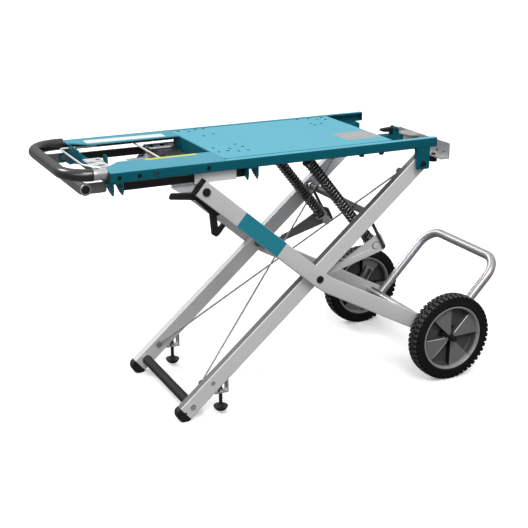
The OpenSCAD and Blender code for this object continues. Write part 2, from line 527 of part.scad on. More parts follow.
// Sleeve for the sliding end support, with its clamp boss
sup_y = -20;
clamp_p = [284, 579.5];
module support_sleeve() { color([0.06, 0.4, 0.5]) place() difference() {
  union() {
    xbox([150, sup_y - 12, 546], [303, sup_y + 12, 568]);
    xbox([154, sup_y - 12, 567], [188, sup_y + 12, rail_z1 - 0.05]);
    for (y = [sup_y - 10, sup_y + 7]) slab(y, y + 3) union() {
      polygon([[276, 567], [292, 567], [292, 580], [276, 580]]);
      translate(clamp_p) circle(8);
    }
  }
  xbox([149, sup_y - 9, 549], [304, sup_y + 9, 565]);
  ycyl(clamp_p, sup_y - 14, sup_y + 14, 6);
  translate([284, sup_y, 560]) cylinder(h = 9, d = 7);
} }

// ---------- release lever ----------
lev_p = [-482, 556];
module release_lever() { color([0.22, 0.22, 0.23]) place() {
  for (s = [-1, 1]) {
    sslab(s, 141, 145) union() {
      polygon([[-519, 543], [-479, 543], [-475, 547], [-475, 561], [-479, 565], [-519, 565]]);
      translate([-519, 553]) circle(13);
    }
    scyl(s, lev_p, 136, 142, 8);
    scyl(s, lev_p, 134.5, 136.6, 12);
    scyl(s, [-519, 553], 144, 148, 17);
  }
  difference() {
    xbox([-530, -141.5, 543], [-512, 141.5, 560]);
    xbox([-528, -139.5, 541], [-514, 139.5, 558]);
  }
} }
module lock_rods() { color([0.86, 0.86, 0.86]) place() {
  for (x = [-484, -322]) rod([x, -132, 577], [x, 132, 577], 6);
  for (s = [-1, 1]) rod([-484, s * 132, 577], [-300, s * 132, 577], 6);
} }

// ---------- end support ----------
module support_bar() { color([0.72, 0.72, 0.72]) place() {
  difference() {
    xbox([130, sup_y - 8.6, 549.4], [334, sup_y + 8.6, 564.6]);
    xbox([129, sup_y - 6.6, 551.4], [328, sup_y + 6.6, 562.6]);
  }
} }
module support_plate() { color([0.78, 0.78, 0.78]) place() difference() {
  union() {
    xbox([334.05, -176, 535], [337, 37, 571]);
    xbox([314, -176, 535], [337, -100, 538]);
    // round tongue lying on the end of the bar
    intersection() {
      translate([334.1, sup_y, 565]) cylinder(h = 2.5, d = 60);
      xbox([304.5, -70, 560], [334.1, 40, 570]);
    }
  }
  translate([322, -133, 530]) cylinder(h = 12, d = 6.5);
} }
module support_foot() { color([0.04, 0.04, 0.04]) place() translate([322, -133, 0]) {
  translate([0, 0, 522]) cylinder(h = 12.95, d = 18);
  translate([0, 0, 530]) cylinder(h = 10, d = 6.4);
  translate([0, 0, 538.05]) cylinder(h = 3.4, d = 10);
} }
module clamp_lever() { color([0.05, 0.05, 0.05]) place() {
  ycyl(clamp_p, sup_y - 11, sup_y + 11, 5.9);
  slab(sup_y - 6.5, sup_y + 6.5) union() {
    translate(clamp_p) circle(7);
    polygon([[284, 586], [262, 584.5], [250, 584], [246.5, 581.5], [247, 578], [252, 576.5], [284, 574]]);
  }
} }

// ---------- springs ----------
module strut(s) { dir(sp_d, sp_ang) translate([0, s * spring_y, 0]) children(); }
module spring_rod(s) {
  difference() {
    union() {
      strut(s) translate([0, 0, 6]) cylinder(h = sp_len + 18, d = 8);
      strut(s) translate([0, 0, 12]) cylinder(h = 4, d = 30);
      strut(s) translate([0, 0, 7]) cylinder(h = 8, d = 14);
      for (z = [12, 17.5]) strut(s) translate([0, 0, sp_len + z]) cylinder(h = 5, d = 14, $fn = 6);
      scyl(s, sp_d, spring_y - 8.5, spring_y + 8.5, 17);
    }
    scyl(s, sp_d, 95, 135, 8.1);
  }
}
module coil_spring(s) { strut(s) difference() {
  translate([0, 0, 16.1]) cylinder(h = sp_len - 32.2, d = coil_d);
  translate([0, 0, 10]) cylinder(h = sp_len, d = coil_d - 10);
} }
// Swivel block at the spring's lower end, on a stub in the spring arm
module trunnion(s) { difference() {
  union() {
    scyl(s, sp_t, spring_y - 11, spring_y + 11, 22);
    strut(s) translate([0, 0, sp_len - 16]) cylinder(h = 4, d = 30);
    strut(s) translate([0, 0, sp_len - 13]) cylinder(h = 13, d = 19);
    scyl(s, sp_t, spring_y + 10, y_in - 7.8, 15);
    scyl(s, sp_t, spring_y + 12, y_in - 3.4, 10);
    scyl(s, sp_t, y_in - 4.4, y_in - 2.6, 13);
  }
  strut(s) translate([0, 0, sp_len - 30]) cylinder(h = 60, d = 14);
} }
module spring_rod_near() { color([0.12, 0.12, 0.12]) place() spring_rod(-1); }
module spring_rod_far() { color([0.12, 0.12, 0.12]) place() spring_rod(1); }
module coil_spring_near() { color([0.04, 0.04, 0.04]) place() coil_spring(-1); }
module coil_spring_far() { color([0.04, 0.04, 0.04]) place() coil_spring(1); }
module trunnion_near() { color([0.75, 0.75, 0.75]) place() trunnion(-1); }
module trunnion_far() { color([0.75, 0.75, 0.75]) place() trunnion(1); }
module leveller(s) { translate([-232, s * (y_in + leg_t / 2), 0]) {
  translate([0, 0, 18]) cylinder(h = 66, d = 8);
  translate([0, 0, 5]) rotate_extrude() intersection() {
    translate([0, 17.5]) circle(17.5);
    translate([0, -1]) square([40, 14.5]);
  }
  translate([0, 0, 17]) cylinder(h = 6, d1 = 17, d2 = 12);
} }
module leveller_near() { color([0.04, 0.04, 0.04]) place() leveller(-1); }
module leveller_far() { color([0.04, 0.04, 0.04]) place() leveller(1); }

inner_leg_near();
inner_leg_far();
foot_caps();
foot_bar();
foot_bar_grip();
leg_cross_tube();
pivot_tube();
pivot_bolt();
brace_rods();
spring_arms();
spring_ties();
leveller_brackets();
frame_bolts();
outer_leg_near();
outer_leg_far();
leg_end_plugs();
axle();
axle_tube();
wheel_frame_fasteners();
rear_hoop();
latch_loop();
tyre_near();
rim_near();
tyre_far();
rim_far();
carriages();
carriage_plate();
slide_pins();
hook_lever();
side_rail_near();
side_rail_far();
deck_plate();
deck_flanges();
cross_channel_left();
cross_channel_middle();
latch_bracket();
slide_rails();
hinge_brackets();
hinge_pins();
spring_mounts();
handle_tube();
handle_grip();
lever_brackets();
rail_caps();
bumpers();
support_sleeve();
release_lever();
lock_rods();
support_bar();
support_plate();
support_foot();
clamp_lever();
spring_rod_near();
coil_spring_near();
spring_rod_far();
coil_spring_far();
trunnion_near();
trunnion_far();
leveller_near();
leveller_far();
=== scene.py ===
import json
import math
import random

import bmesh
import bpy
from mathutils import Matrix, Vector

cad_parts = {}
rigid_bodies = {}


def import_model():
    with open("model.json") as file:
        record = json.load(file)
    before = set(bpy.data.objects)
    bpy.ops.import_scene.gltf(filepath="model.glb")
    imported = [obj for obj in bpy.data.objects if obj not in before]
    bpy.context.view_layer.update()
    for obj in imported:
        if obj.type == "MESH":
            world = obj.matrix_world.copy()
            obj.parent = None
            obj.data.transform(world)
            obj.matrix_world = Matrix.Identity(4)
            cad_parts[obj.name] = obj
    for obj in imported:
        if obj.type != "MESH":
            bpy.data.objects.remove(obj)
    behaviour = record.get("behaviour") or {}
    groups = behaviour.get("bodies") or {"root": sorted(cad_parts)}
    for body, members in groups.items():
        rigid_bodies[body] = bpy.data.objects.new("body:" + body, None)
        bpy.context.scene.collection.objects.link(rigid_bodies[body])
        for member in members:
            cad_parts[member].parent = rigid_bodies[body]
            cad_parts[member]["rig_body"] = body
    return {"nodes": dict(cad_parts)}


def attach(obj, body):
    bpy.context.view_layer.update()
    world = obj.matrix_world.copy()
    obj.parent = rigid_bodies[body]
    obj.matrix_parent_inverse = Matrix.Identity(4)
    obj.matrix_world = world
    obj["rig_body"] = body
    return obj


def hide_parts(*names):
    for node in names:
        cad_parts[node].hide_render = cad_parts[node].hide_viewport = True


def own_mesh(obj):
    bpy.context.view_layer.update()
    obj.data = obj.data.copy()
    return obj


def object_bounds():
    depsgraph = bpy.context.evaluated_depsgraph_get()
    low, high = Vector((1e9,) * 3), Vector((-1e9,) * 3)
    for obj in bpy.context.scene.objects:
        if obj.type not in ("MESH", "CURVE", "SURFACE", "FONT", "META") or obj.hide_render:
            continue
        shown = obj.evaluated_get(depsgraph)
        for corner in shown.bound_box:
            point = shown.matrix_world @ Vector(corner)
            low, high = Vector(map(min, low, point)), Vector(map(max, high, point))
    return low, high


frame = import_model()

CAD_LO, CAD_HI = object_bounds()
NODES = frame["nodes"]
XS = 18.75
PI = math.pi


def P(x, y, z):
    """Point in millimetres from the scissor pivot's plane to the row frame in metres."""
    return Vector(((x + XS) / 1000, y / 1000, z / 1000))


def mm(v):
    return v / 1000


# ---------------------------------------------------------------- camera, light, floor
sc = bpy.context.scene
sc.view_settings.view_transform = "Standard"
sc.view_settings.look = "None"

cam_data = bpy.data.cameras.new("camera")
cam_data.sensor_width = 36
cam_data.lens = 76.09
cam = bpy.data.objects.new("camera", cam_data)
sc.collection.objects.link(cam)
cam.location = (-1.12522, -2.24643, 1.12627)
aim = Vector((-0.03265, 0, 0.2832)) - cam.location
cam.rotation_mode = "QUATERNION"
cam.rotation_quaternion = aim.to_track_quat("-Z", "Y")
cam_data.clip_end = 200
sc.camera = cam

world = bpy.data.worlds.new("studio")
sc.world = world
world.use_nodes = True
wt = world.node_tree
wt.nodes.clear()
w_out = wt.nodes.new("ShaderNodeOutputWorld")
w_bg = wt.nodes.new("ShaderNodeBackground")
w_co = wt.nodes.new("ShaderNodeTexCoord")
w_sep = wt.nodes.new("ShaderNodeSeparateXYZ")
w_ramp = wt.nodes.new("ShaderNodeValToRGB")
wt.links.new(w_co.outputs["Generated"], w_sep.inputs[0])
wt.links.new(w_sep.outputs["Z"], w_ramp.inputs["Fac"])
wt.links.new(w_ramp.outputs["Color"], w_bg.inputs["Color"])
wt.links.new(w_bg.outputs[0], w_out.inputs[0])
w_ramp.color_ramp.elements[0].position = 0.0
w_ramp.color_ramp.elements[0].color = (0.25, 0.255, 0.26, 1)
w_ramp.color_ramp.elements[1].position = 0.85
w_ramp.color_ramp.elements[1].color = (0.95, 0.95, 0.95, 1)
w_bg.inputs["Strength"].default_value = 0.95

for light_name, heading, power, spread in (("key", (0.22, 0.62, -0.74), 1.75, 28), ("rim", (0.50, -0.62, -0.72), 1.25, 18)):
    sun_data = bpy.data.lights.new(light_name, "SUN")
    sun_data.energy = power
    sun_data.angle = math.radians(spread)
    sun = bpy.data.objects.new(light_name, sun_data)
    sc.collection.objects.link(sun)
    sun.rotation_mode = "QUATERNION"
    sun.rotation_quaternion = Vector(heading).to_track_quat("-Z", "Y")

strip_data = bpy.data.lights.new("strip", "AREA")
strip_data.shape = "RECTANGLE"
strip_data.size, strip_data.size_y = 1.6, 0.5
strip_data.energy = 9
strip = bpy.data.objects.new("strip", strip_data)
sc.collection.objects.link(strip)
strip.location = (-1.7, -1.5, 1.5)
strip.rotation_mode = "QUATERNION"
strip.rotation_quaternion = (Vector((-0.1, 0, 0.35)) - Vector(strip.location)).to_track_quat("-Z", "Y")


# ---------------------------------------------------------------- materials
class Mat:
    """A small builder for node-based materials in object space."""

    def __init__(self, name):
        self.m = bpy.data.materials.new(name)
        self.m.use_nodes = True
        self.t = self.m.node_tree
        self.t.nodes.clear()
        self.out = self.node("ShaderNodeOutputMaterial")
        self.b = self.node("ShaderNodeBsdfPrincipled")
        self.link(self.b.outputs[0], self.out.inputs["Surface"])
        self.co = self.node("ShaderNodeTexCoord").outputs["Object"]
        self.normal = None

    def node(self, kind, **kw):
        n = self.t.nodes.new(kind)
        for k, v in kw.items():
            setattr(n, k, v)
        return n

    def link(self, a, b):
        self.t.links.new(a, b)

    def at(self, scale):
        if not isinstance(scale, tuple):
            return self.co, scale
        m = self.node("ShaderNodeMapping")
        m.inputs["Scale"].default_value = scale
        self.link(self.co, m.inputs["Vector"])
        return m.outputs[0], 1.0

    def noise(self, scale, detail=3.0, rough=0.5, distort=0.0):
        co, s = self.at(scale)
        n = self.node("ShaderNodeTexNoise")
        n.inputs["Scale"].default_value = s
        n.inputs["Detail"].default_value = detail
        n.inputs["Roughness"].default_value = rough
        n.inputs["Distortion"].default_value = distort
        self.link(co, n.inputs["Vector"])
        return n.outputs["Fac"]

    def cells(self, scale, feature="F1", out="Distance"):
        co, s = self.at(scale)
        n = self.node("ShaderNodeTexVoronoi", feature=feature)
        n.inputs["Scale"].default_value = s
        self.link(co, n.inputs["Vector"])
        return n.outputs[out]

    def ramp(self, fac, a, b, lo=0.0, hi=1.0):
        r = self.node("ShaderNodeMapRange")
        r.inputs["From Min"].default_value = a
        r.inputs["From Max"].default_value = b
        r.inputs["To Min"].default_value = lo
        r.inputs["To Max"].default_value = hi
        self.link(fac, r.inputs["Value"])
        return r.outputs[0]

    def mix(self, fac, a, b, blend="MIX"):
        n = self.node("ShaderNodeMix", data_type="RGBA", blend_type=blend)
        if isinstance(fac, (int, float)):
            n.inputs[0].default_value = fac
        else:
            self.link(fac, n.inputs[0])
        for i, v in ((6, a), (7, b)):
            if isinstance(v, tuple):
                n.inputs[i].default_value = (*v[:3], 1)
            else:
                self.link(v, n.inputs[i])
        return n.outputs[2]

    def calc(self, op, a, b):
        n = self.node("ShaderNodeMath", operation=op)
        for i, v in ((0, a), (1, b)):
            if isinstance(v, (int, float)):
                n.inputs[i].default_value = v
            else:
                self.link(v, n.inputs[i])
        return n.outputs[0]

    def bump(self, height, strength, distance):
        n = self.node("ShaderNodeBump")
        n.inputs["Strength"].default_value = strength
        n.inputs["Distance"].default_value = distance
        self.link(height, n.inputs["Height"])
        if self.normal is not None:
            self.link(self.normal, n.inputs["Normal"])
        self.normal = n.outputs[0]

    def done(self, colour, rough):
        if isinstance(colour, tuple):
            self.b.inputs["Base Color"].default_value = (*colour[:3], 1)
        else:
            self.link(colour, self.b.inputs["Base Color"])
        if isinstance(rough, (int, float)):
            self.b.inputs["Roughness"].default_value = rough
        else:
            self.link(rough, self.b.inputs["Roughness"])
        if self.normal is not None:
            self.link(self.normal, self.b.inputs["Normal"])
        return self.m


def tone(c, k):
    return tuple(min(1.0, x * k) for x in c)


def paint(name, base, rough=0.42, var=0.07, grain=750, bump=0.12, metal=0.0, coat=0.0, dust=0.0, spec=0.5, low_painted_shade=0.0):
    """Powder coat: orange-peel grain, cloudy tone, and fine scuffs, with optional painted shade towards the bottom."""
    m = Mat(name)
    cloud = m.noise(6.0, 4.0)
    fleck = m.noise(190.0, 3.0, 0.6)
    peel = m.noise(float(grain), 2.0)
    scuff = m.noise((60.0, 60.0, 900.0), 2.0, 0.7, 0.4)
    col = m.mix(m.ramp(cloud, 0.3, 0.7), tone(base, 1 - var), tone(base, 1 + var))
    col = m.mix(m.ramp(fleck, 0.55, 0.8, 0.0, 0.35), col, tone(base, 1 - 2.2 * var))
    mark = m.ramp(scuff, 0.66, 0.76, 0.0, 0.22)
    col = m.mix(mark, col, tuple(x * 0.75 + 0.14 for x in base))
    if dust:
        col = m.mix(m.ramp(m.noise(22.0, 5.0, 0.65), 0.5, 0.75, 0.0, dust), col, (0.42, 0.40, 0.37))
    m.bump(cloud, 0.08, 0.0006)
    m.bump(peel, bump, 0.00022)
    r = m.calc("ADD", m.ramp(fleck, 0.3, 0.7, rough - 0.05, rough + 0.07), m.ramp(mark, 0.0, 0.3, 0.0, 0.1))
    m.b.inputs["Metallic"].default_value = metal
    m.b.inputs["Specular IOR Level"].default_value = spec
    if coat:
        m.b.inputs["Coat Weight"].default_value = coat
        m.b.inputs["Coat Roughness"].default_value = 0.18
    # painted shade: the colour darkens towards the bottom of the part
    if low_painted_shade:
        lift = m.node("ShaderNodeSeparateXYZ")
        m.link(m.co, lift.inputs[0])
        col = m.mix(m.ramp(lift.outputs["Z"], 0.08, 0.52, low_painted_shade, 0.0), col, tone(base, 0.45))
    return m.done(col, r)


def steel(name, base, rough=0.28, brush=(25.0, 25.0, 700.0), metal=0.85, var=0.1):
    """Plated steel: fine drawing lines, spangle and slight tarnish."""
    m = Mat(name)
    lines = m.noise(brush, 3.0, 0.6, 0.2)
    span = m.cells(160.0, out="Color")
    tarn = m.noise(14.0, 5.0, 0.6)
    col = m.mix(m.ramp(lines, 0.3, 0.7), tone(base, 1 - var), tone(base, 1 + var))
    col = m.mix(0.10, col, span, "OVERLAY")
    col = m.mix(m.ramp(tarn, 0.55, 0.8, 0.0, 0.3), col, tuple(x * k for x, k in zip(base, (0.78, 0.74, 0.66))))
    m.bump(lines, 0.18, 0.00012)
    m.b.inputs["Metallic"].default_value = metal
    return m.done(col, m.ramp(tarn, 0.3, 0.8, rough - 0.05, rough + 0.12))


def plastic(name, base, rough=0.5, grain=620.0, bump=0.3, var=0.12, spec=0.45):
    """Moulded plastic: leather-like grain with a few lighter rub marks."""
    m = Mat(name)
    cell = m.cells(grain, "SMOOTH_F1")
    cloud = m.noise(11.0, 4.0)
    rub = m.noise((240.0, 90.0, 150.0), 3.0, 0.7, 0.6)
    col = m.mix(m.ramp(cloud, 0.3, 0.7), tone(base, 1 - var), tone(base, 1 + var))
    col = m.mix(m.ramp(rub, 0.66, 0.8, 0.0, 0.2), col, tuple(x + 0.06 for x in base))
    m.bump(cell, bump, 0.00025)
    m.b.inputs["Specular IOR Level"].default_value = spec
    return m.done(col, m.ramp(cell, 0.0, 0.6, rough - 0.06, rough + 0.1))


def rubber(name, base, rough=0.7, pore=1100.0, bump=0.5, dist=0.0004, var=0.18, spec=0.35, sheen=0.0, skin=0.0):
    """Foam or rubber: open pores, soft cloudy tone."""
    m = Mat(name)
    pores = m.cells(pore)
    fine = m.noise(pore * 1.6, 3.0)
    cloud = m.noise(17.0, 5.0, 0.6)
    col = m.mix(m.ramp(cloud, 0.3, 0.7), tone(base, 1 - var), tone(base, 1 + var))
    col = m.mix(m.ramp(pores, 0.0, 0.35, 0.5, 0.0), col, tone(base, 0.35))
    m.bump(pores, bump, dist)
    m.bump(fine, 0.15, 0.0001)
    m.b.inputs["Specular IOR Level"].default_value = spec
    if skin:
        m.b.inputs["Coat Weight"].default_value = 1.0
        m.b.inputs["Coat IOR"].default_value = skin
        m.b.inputs["Coat Roughness"].default_value = 0.25
    if sheen:
        m.b.inputs["Sheen Weight"].default_value = sheen
        m.b.inputs["Sheen Roughness"].default_value = 0.4
    return m.done(col, m.ramp(cloud, 0.3, 0.8, rough - 0.08, rough + 0.08))


MAT = {
    "leg": paint("leg_silver_coat", (0.62, 0.62, 0.625), 0.38, 0.03, 900, 0.10, metal=0.2, coat=0.1),
    # painted light: the inner legs' copy darkens towards the bottom as painted shade; the far legs' copy is a much
    # lighter painted-light tone of the same paint, also darkened low down
    "leg_inner": paint("inner_leg_coat_painted_shade_low", (0.65, 0.65, 0.655), 0.38, 0.03, 900, 0.10, metal=0.1, coat=0.1, low_painted_shade=0.18),
    "leg_far": paint("far_leg_painted_light_coat", (0.84, 0.84, 0.845), 0.36, 0.04, 900, 0.10, metal=0.15, coat=0.1, low_painted_shade=0.6),
    "black_plastic": plastic("black_moulding", (0.008, 0.008, 0.0085), spec=0.3),
    "foam": rubber("foam_sleeve", (0.003, 0.003, 0.0032), 0.45, 1300.0, 0.14, 0.00012, spec=0.08, skin=1.68),
    "grip": rubber("foot_grip_rubber", (0.010, 0.010, 0.0105), 0.6, 900.0, 0.4, 0.0003, spec=0.3),
    "hoop": steel("hoop_zinc", (0.44, 0.44, 0.445), 0.38, metal=0.85, var=0.05),
    "bright_plate": steel("bright_plate_zinc", (0.70, 0.705, 0.71), 0.36, metal=0.35, var=0.04),
    "tread_painted_glint": rubber("tread_painted_glint_rubber", (0.045, 0.045, 0.047), 0.42, 800.0, 0.15, 0.0001, spec=0.6),
    # painted shade and highlight: darker rim copies for sunken faces and walls, lighter ones for edge strips and the
    # lip
    "rim_painted_shade": plastic("rim_sunken_painted_shade_moulding", (0.055, 0.055, 0.058), 0.42, 700.0, 0.15, 0.05),
    "rim_painted_shadow": plastic("rim_wall_painted_shadow_moulding", (0.006, 0.006, 0.0065), 0.5, 700.0, 0.15, 0.05, spec=0.3),
    "rim_painted_highlight": plastic("rim_painted_highlight_moulding", (0.80, 0.80, 0.81), 0.32, 700.0, 0.08, 0.03, spec=0.7),
    "rim_lip_painted_highlight": plastic("rim_lip_painted_highlight_moulding", (0.24, 0.24, 0.245), 0.24, 700.0, 0.08, 0.04, spec=1.0),
    "tie_wire": steel("tie_wire_plate", (0.24, 0.24, 0.245), 0.34, metal=0.5, var=0.08),
    "strap": paint("strap_dark_coat", (0.035, 0.035, 0.036), 0.36, 0.06, coat=0.1, metal=0.2),
    "recess": paint("recess_teal_shade", (0.002, 0.012, 0.020), 0.5, 0.05, 900, 0.1, spec=0.2),
    "zinc": steel("zinc_plate", (0.62, 0.625, 0.63), 0.24, metal=0.95),
    "bright_rod": steel("bright_rod_plate", (0.86, 0.86, 0.86), 0.3, metal=0.45, var=0.05),
    "mid_tube": paint("grey_tube_coat", (0.17, 0.17, 0.175), 0.30, 0.06, coat=0.3, metal=0.4),
    "far_arm_painted_shade": paint("arm_painted_shade_coat", (0.17, 0.17, 0.172), 0.40, 0.05, 900, 0.10, metal=0.2),
    "leg_top_painted_shade": paint("leg_top_painted_shade_coat", (0.12, 0.12, 0.122), 0.40, 0.05, 900, 0.10, metal=0.2),
    "dark_tube": paint("dark_tube_coat", (0.055, 0.055, 0.058), 0.33, 0.08, coat=0.2, metal=0.3),
    "black_steel": paint("black_steel_coat", (0.006, 0.006, 0.0065), 0.34, 0.10, coat=0.05, spec=0.35),
    "tyre": rubber("tyre_rubber", (0.0045, 0.0045, 0.005), 0.62, 800.0, 0.2, 0.0002, spec=0.18),
    "rim": plastic("rim_moulding", (0.135, 0.135, 0.14), 0.36, 700.0, 0.15, 0.05, spec=0.6),
    "carriage": paint("carriage_silver", (0.80, 0.81, 0.82), 0.40, 0.03, 900, 0.10, metal=0.15),
    # painted light: one teal paint in three tones by how light falls, lit for upward faces, dimmer for the left
    # flanges, dark shaded for the rails, channels and brackets
    "teal_top": paint("teal_painted_lit_coat", (0.083, 0.375, 0.484), 0.42, 0.03, 900, 0.14, coat=0.05, spec=0.4),
    "teal_painted_dim": paint("teal_painted_dim_coat", (0.062, 0.292, 0.385), 0.44, 0.04, 900, 0.14, coat=0.04, spec=0.28),
    "teal_rail": paint("teal_painted_shade_coat", (0.002, 0.088, 0.122), 0.42, 0.05, 900, 0.14, spec=0.12),
    "cap": plastic("end_cap_moulding", (0.012, 0.028, 0.034), 0.55, spec=0.3),
    "lever": paint("lever_dark_coat", (0.12, 0.12, 0.123), 0.30, 0.08, coat=0.35, metal=0.4),
    "spring_steel": paint("spring_black_coat", (0.004, 0.004, 0.0045), 0.24, 0.12, bump=0.05, coat=1.0, spec=1.0),
    "white_label": paint("blank_white_label", (0.80, 0.81, 0.80), 0.30, 0.01, 300, 0.03, coat=0.3),
    "yellow": paint("plain_yellow_film", (0.62, 0.64, 0.05), 0.30, 0.02, 300, 0.03, coat=0.3),
    "teal_film": paint("plain_teal_film", (0.006, 0.205, 0.275), 0.30, 0.01, 300, 0.02, coat=0.2),
    "grey_plate": steel("blank_grey_plate", (0.46, 0.50, 0.52), 0.35, metal=0.5, var=0.06),
    "end_plate": steel("end_plate_zinc", (0.50, 0.50, 0.505), 0.34, metal=0.6, var=0.08),
}

NODE_SLOT = {}
for slot_name, members in {
    "leg": "inner_leg_near inner_leg_far outer_leg_near outer_leg_far",
    "black_plastic": "foot_caps leg_end_plugs support_foot clamp_lever hook_lever",
    "foam": "foot_bar_grip handle_grip",
    "zinc": "foot_bar axle axle_tube rear_hoop latch_loop handle_tube spring_arms leveller_brackets frame_bolts lock_rods latch_bracket trunnion_near trunnion_far",
    "dark_tube": "leg_cross_tube brace_rods pivot_tube spring_ties carriage_plate",
    "black_steel": "pivot_bolt wheel_frame_fasteners slide_pins slide_rails hinge_pins spring_mounts leveller_near leveller_far",
    "tyre": "tyre_near tyre_far",
    "rim": "rim_near rim_far",
    "carriage": "carriages support_bar support_plate",
    "teal_top": "deck_plate deck_flanges",
    "teal_rail": "side_rail_near side_rail_far cross_channel_left cross_channel_middle hinge_brackets lever_brackets support_sleeve",
    "cap": "rail_caps bumpers",
    "lever": "release_lever",
    "spring_steel": "coil_spring_near coil_spring_far spring_rod_near spring_rod_far",
}.items():
    for member in members.split():
        NODE_SLOT[member] = slot_name
BODY_OF = {n: o["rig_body"] for n, o in NODES.items()}


# ---------------------------------------------------------------- mesh tools
def finish_obj(name, bm, body, mat, slot=None, replaces=(), smooth=35.0, bevel=0.0, seg=2, angle=30.0, weighted=False):
    bmesh.ops.recalc_face_normals(bm, faces=bm.faces)
    me = bpy.data.meshes.new(name)
    bm.to_mesh(me)
    bm.free()
    ob = bpy.data.objects.new(name, me)
    sc.collection.objects.link(ob)
    me.materials.append(mat)
    if bevel:
        b = ob.modifiers.new("edge", "BEVEL")
        b.width = bevel / 1000
        b.segments = seg
        b.limit_method = "WEIGHT" if weighted else "ANGLE"
        b.angle_limit = math.radians(angle)
        b.use_clamp_overlap = True
        b.miter_outer = "MITER_ARC"
        dg = bpy.context.evaluated_depsgraph_get()
        done = bpy.data.meshes.new_from_object(ob.evaluated_get(dg))
        ob.modifiers.clear()
        ob.data = done
        bpy.data.meshes.remove(me)
        me = done
        me.name = name
    for p in me.polygons:
        p.use_smooth = True
    me.set_sharp_from_angle(angle=math.radians(smooth))
    if bevel:
        wn = ob.modifiers.new("normals", "WEIGHTED_NORMAL")
        wn.keep_sharp = True
        wn.weight = 80
    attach(ob, body)
    if replaces:
        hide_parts(*replaces)
    return ob


def refine(node, bevel=0.5, seg=2, angle=32.0, smooth=32.0, mat=None, tweak=None):
    """A copy of a CAD node with clean faces and rounded edges, in its place."""
    src = NODES[node]
    bm = bmesh.new()
    bm.from_mesh(src.data)
    bmesh.ops.remove_doubles(bm, verts=bm.verts, dist=2e-6)
    bmesh.ops.dissolve_limit(bm, angle_limit=math.radians(0.6), verts=bm.verts, edges=bm.edges)
    if tweak:
        for v in bm.verts:
            v.co = tweak(v.co)
    slot = NODE_SLOT[node]
    return finish_obj("v_" + node, bm, BODY_OF[node], mat or MAT[slot], slot, (node,), smooth, bevel, seg, angle)


def ring_frame(d):
    d = d.normalized()
    up = Vector((0, 0, 1)) if abs(d.z) < 0.95 else Vector((0, 1, 0))
    a = d.cross(up).normalized()
    return a, d.cross(a).normalized()


def tube(bm, pts, radii, n=20, caps=True, twist=0.0):
    """Sweeps a circle along points, keeping the rings from twisting."""
    if not isinstance(radii, (list, tuple)):
        radii = [radii] * len(pts)
    rings, a = [], None
    for i, p in enumerate(pts):
        d = (pts[min(i + 1, len(pts) - 1)] - pts[max(i - 1, 0)]).normalized()
        if a is None:
            a, b = ring_frame(d)
        else:
            a = (a - d * a.dot(d)).normalized()
            b = d.cross(a)
        rings.append([bm.verts.new(p + (a * math.cos(2 * PI * k / n) + b * math.sin(2 * PI * k / n)) * radii[i]) for k in range(n)])
    for u, v in zip(rings, rings[1:]):
        for k in range(n):
            bm.faces.new((u[k], u[(k + 1) % n], v[(k + 1) % n], v[k]))
    if caps:
        bm.faces.new(rings[0][::-1])
        bm.faces.new(rings[-1])
    return rings


def lathe(bm, profile, centre, axis, n=32, closed=False):
    """Turns (radius, along) points, in metres, about an axis. closed joins the last to the first."""
    axis = axis.normalized()
    a, b = ring_frame(axis)
    rings = []
    for r, t in profile:
        c = centre + axis * t
        if r < 1e-7:
            rings.append([bm.verts.new(c)])
        else:
            rings.append([bm.verts.new(c + (a * math.cos(2 * PI * k / n) + b * math.sin(2 * PI * k / n)) * r) for k in range(n)])
    pairs = list(zip(rings, rings[1:])) + ([(rings[-1], rings[0])] if closed else [])
    for u, v in pairs:
        for k in range(n):
            q = [u[k % len(u)], u[(k + 1) % len(u)], v[(k + 1) % len(v)], v[k % len(v)]]
            face = []
            for x in q:
                if x not in face:
                    face.append(x)
            if len(face) > 2:
                bm.faces.new(face)
    return rings


def prism(bm, outline, y0, y1):
    """Outline in XZ (mm), thickened from y0 to y1 (mm)."""
    a = [bm.verts.new(P(x, y0, z)) for x, z in outline]
    b = [bm.verts.new(P(x, y1, z)) for x, z in outline]
    n = len(outline)
    for i in range(n):
        bm.faces.new((a[i], a[(i + 1) % n], b[(i + 1) % n], b[i]))
    bm.faces.new(a[::-1])
    bm.faces.new(b)


def flat(bm, outline, z0, z1):
    """Outline in XY (mm), thickened from z0 to z1 (mm)."""
    a = [bm.verts.new(P(x, y, z0)) for x, y in outline]
    b = [bm.verts.new(P(x, y, z1)) for x, y in outline]
    n = len(outline)
    for i in range(n):
        bm.faces.new((a[i], a[(i + 1) % n], b[(i + 1) % n], b[i]))
    bm.faces.new(a[::-1])
    bm.faces.new(b)


def along_x(bm, profile, x0, x1):
    """Closed profile in YZ (mm), drawn out from x0 to x1 (mm)."""
    a = [bm.verts.new(P(x0, y, z)) for y, z in profile]
    b = [bm.verts.new(P(x1, y, z)) for y, z in profile]
    n = len(profile)
    for i in range(n):
        bm.faces.new((a[i], a[(i + 1) % n], b[(i + 1) % n], b[i]))
    bm.faces.new(a[::-1])
    bm.faces.new(b)


def slab_box(bm, x0, x1, y0, y1, z0, z1):
    flat(bm, [(x0, y0), (x1, y0), (x1, y1), (x0, y1)], z0, z1)


def arc(cx, cy, r, a0, a1, n):
    return [(cx + r * math.cos(math.radians(a0 + (a1 - a0) * i / n)), cy + r * math.sin(math.radians(a0 + (a1 - a0) * i / n))) for i in range(n + 1)]


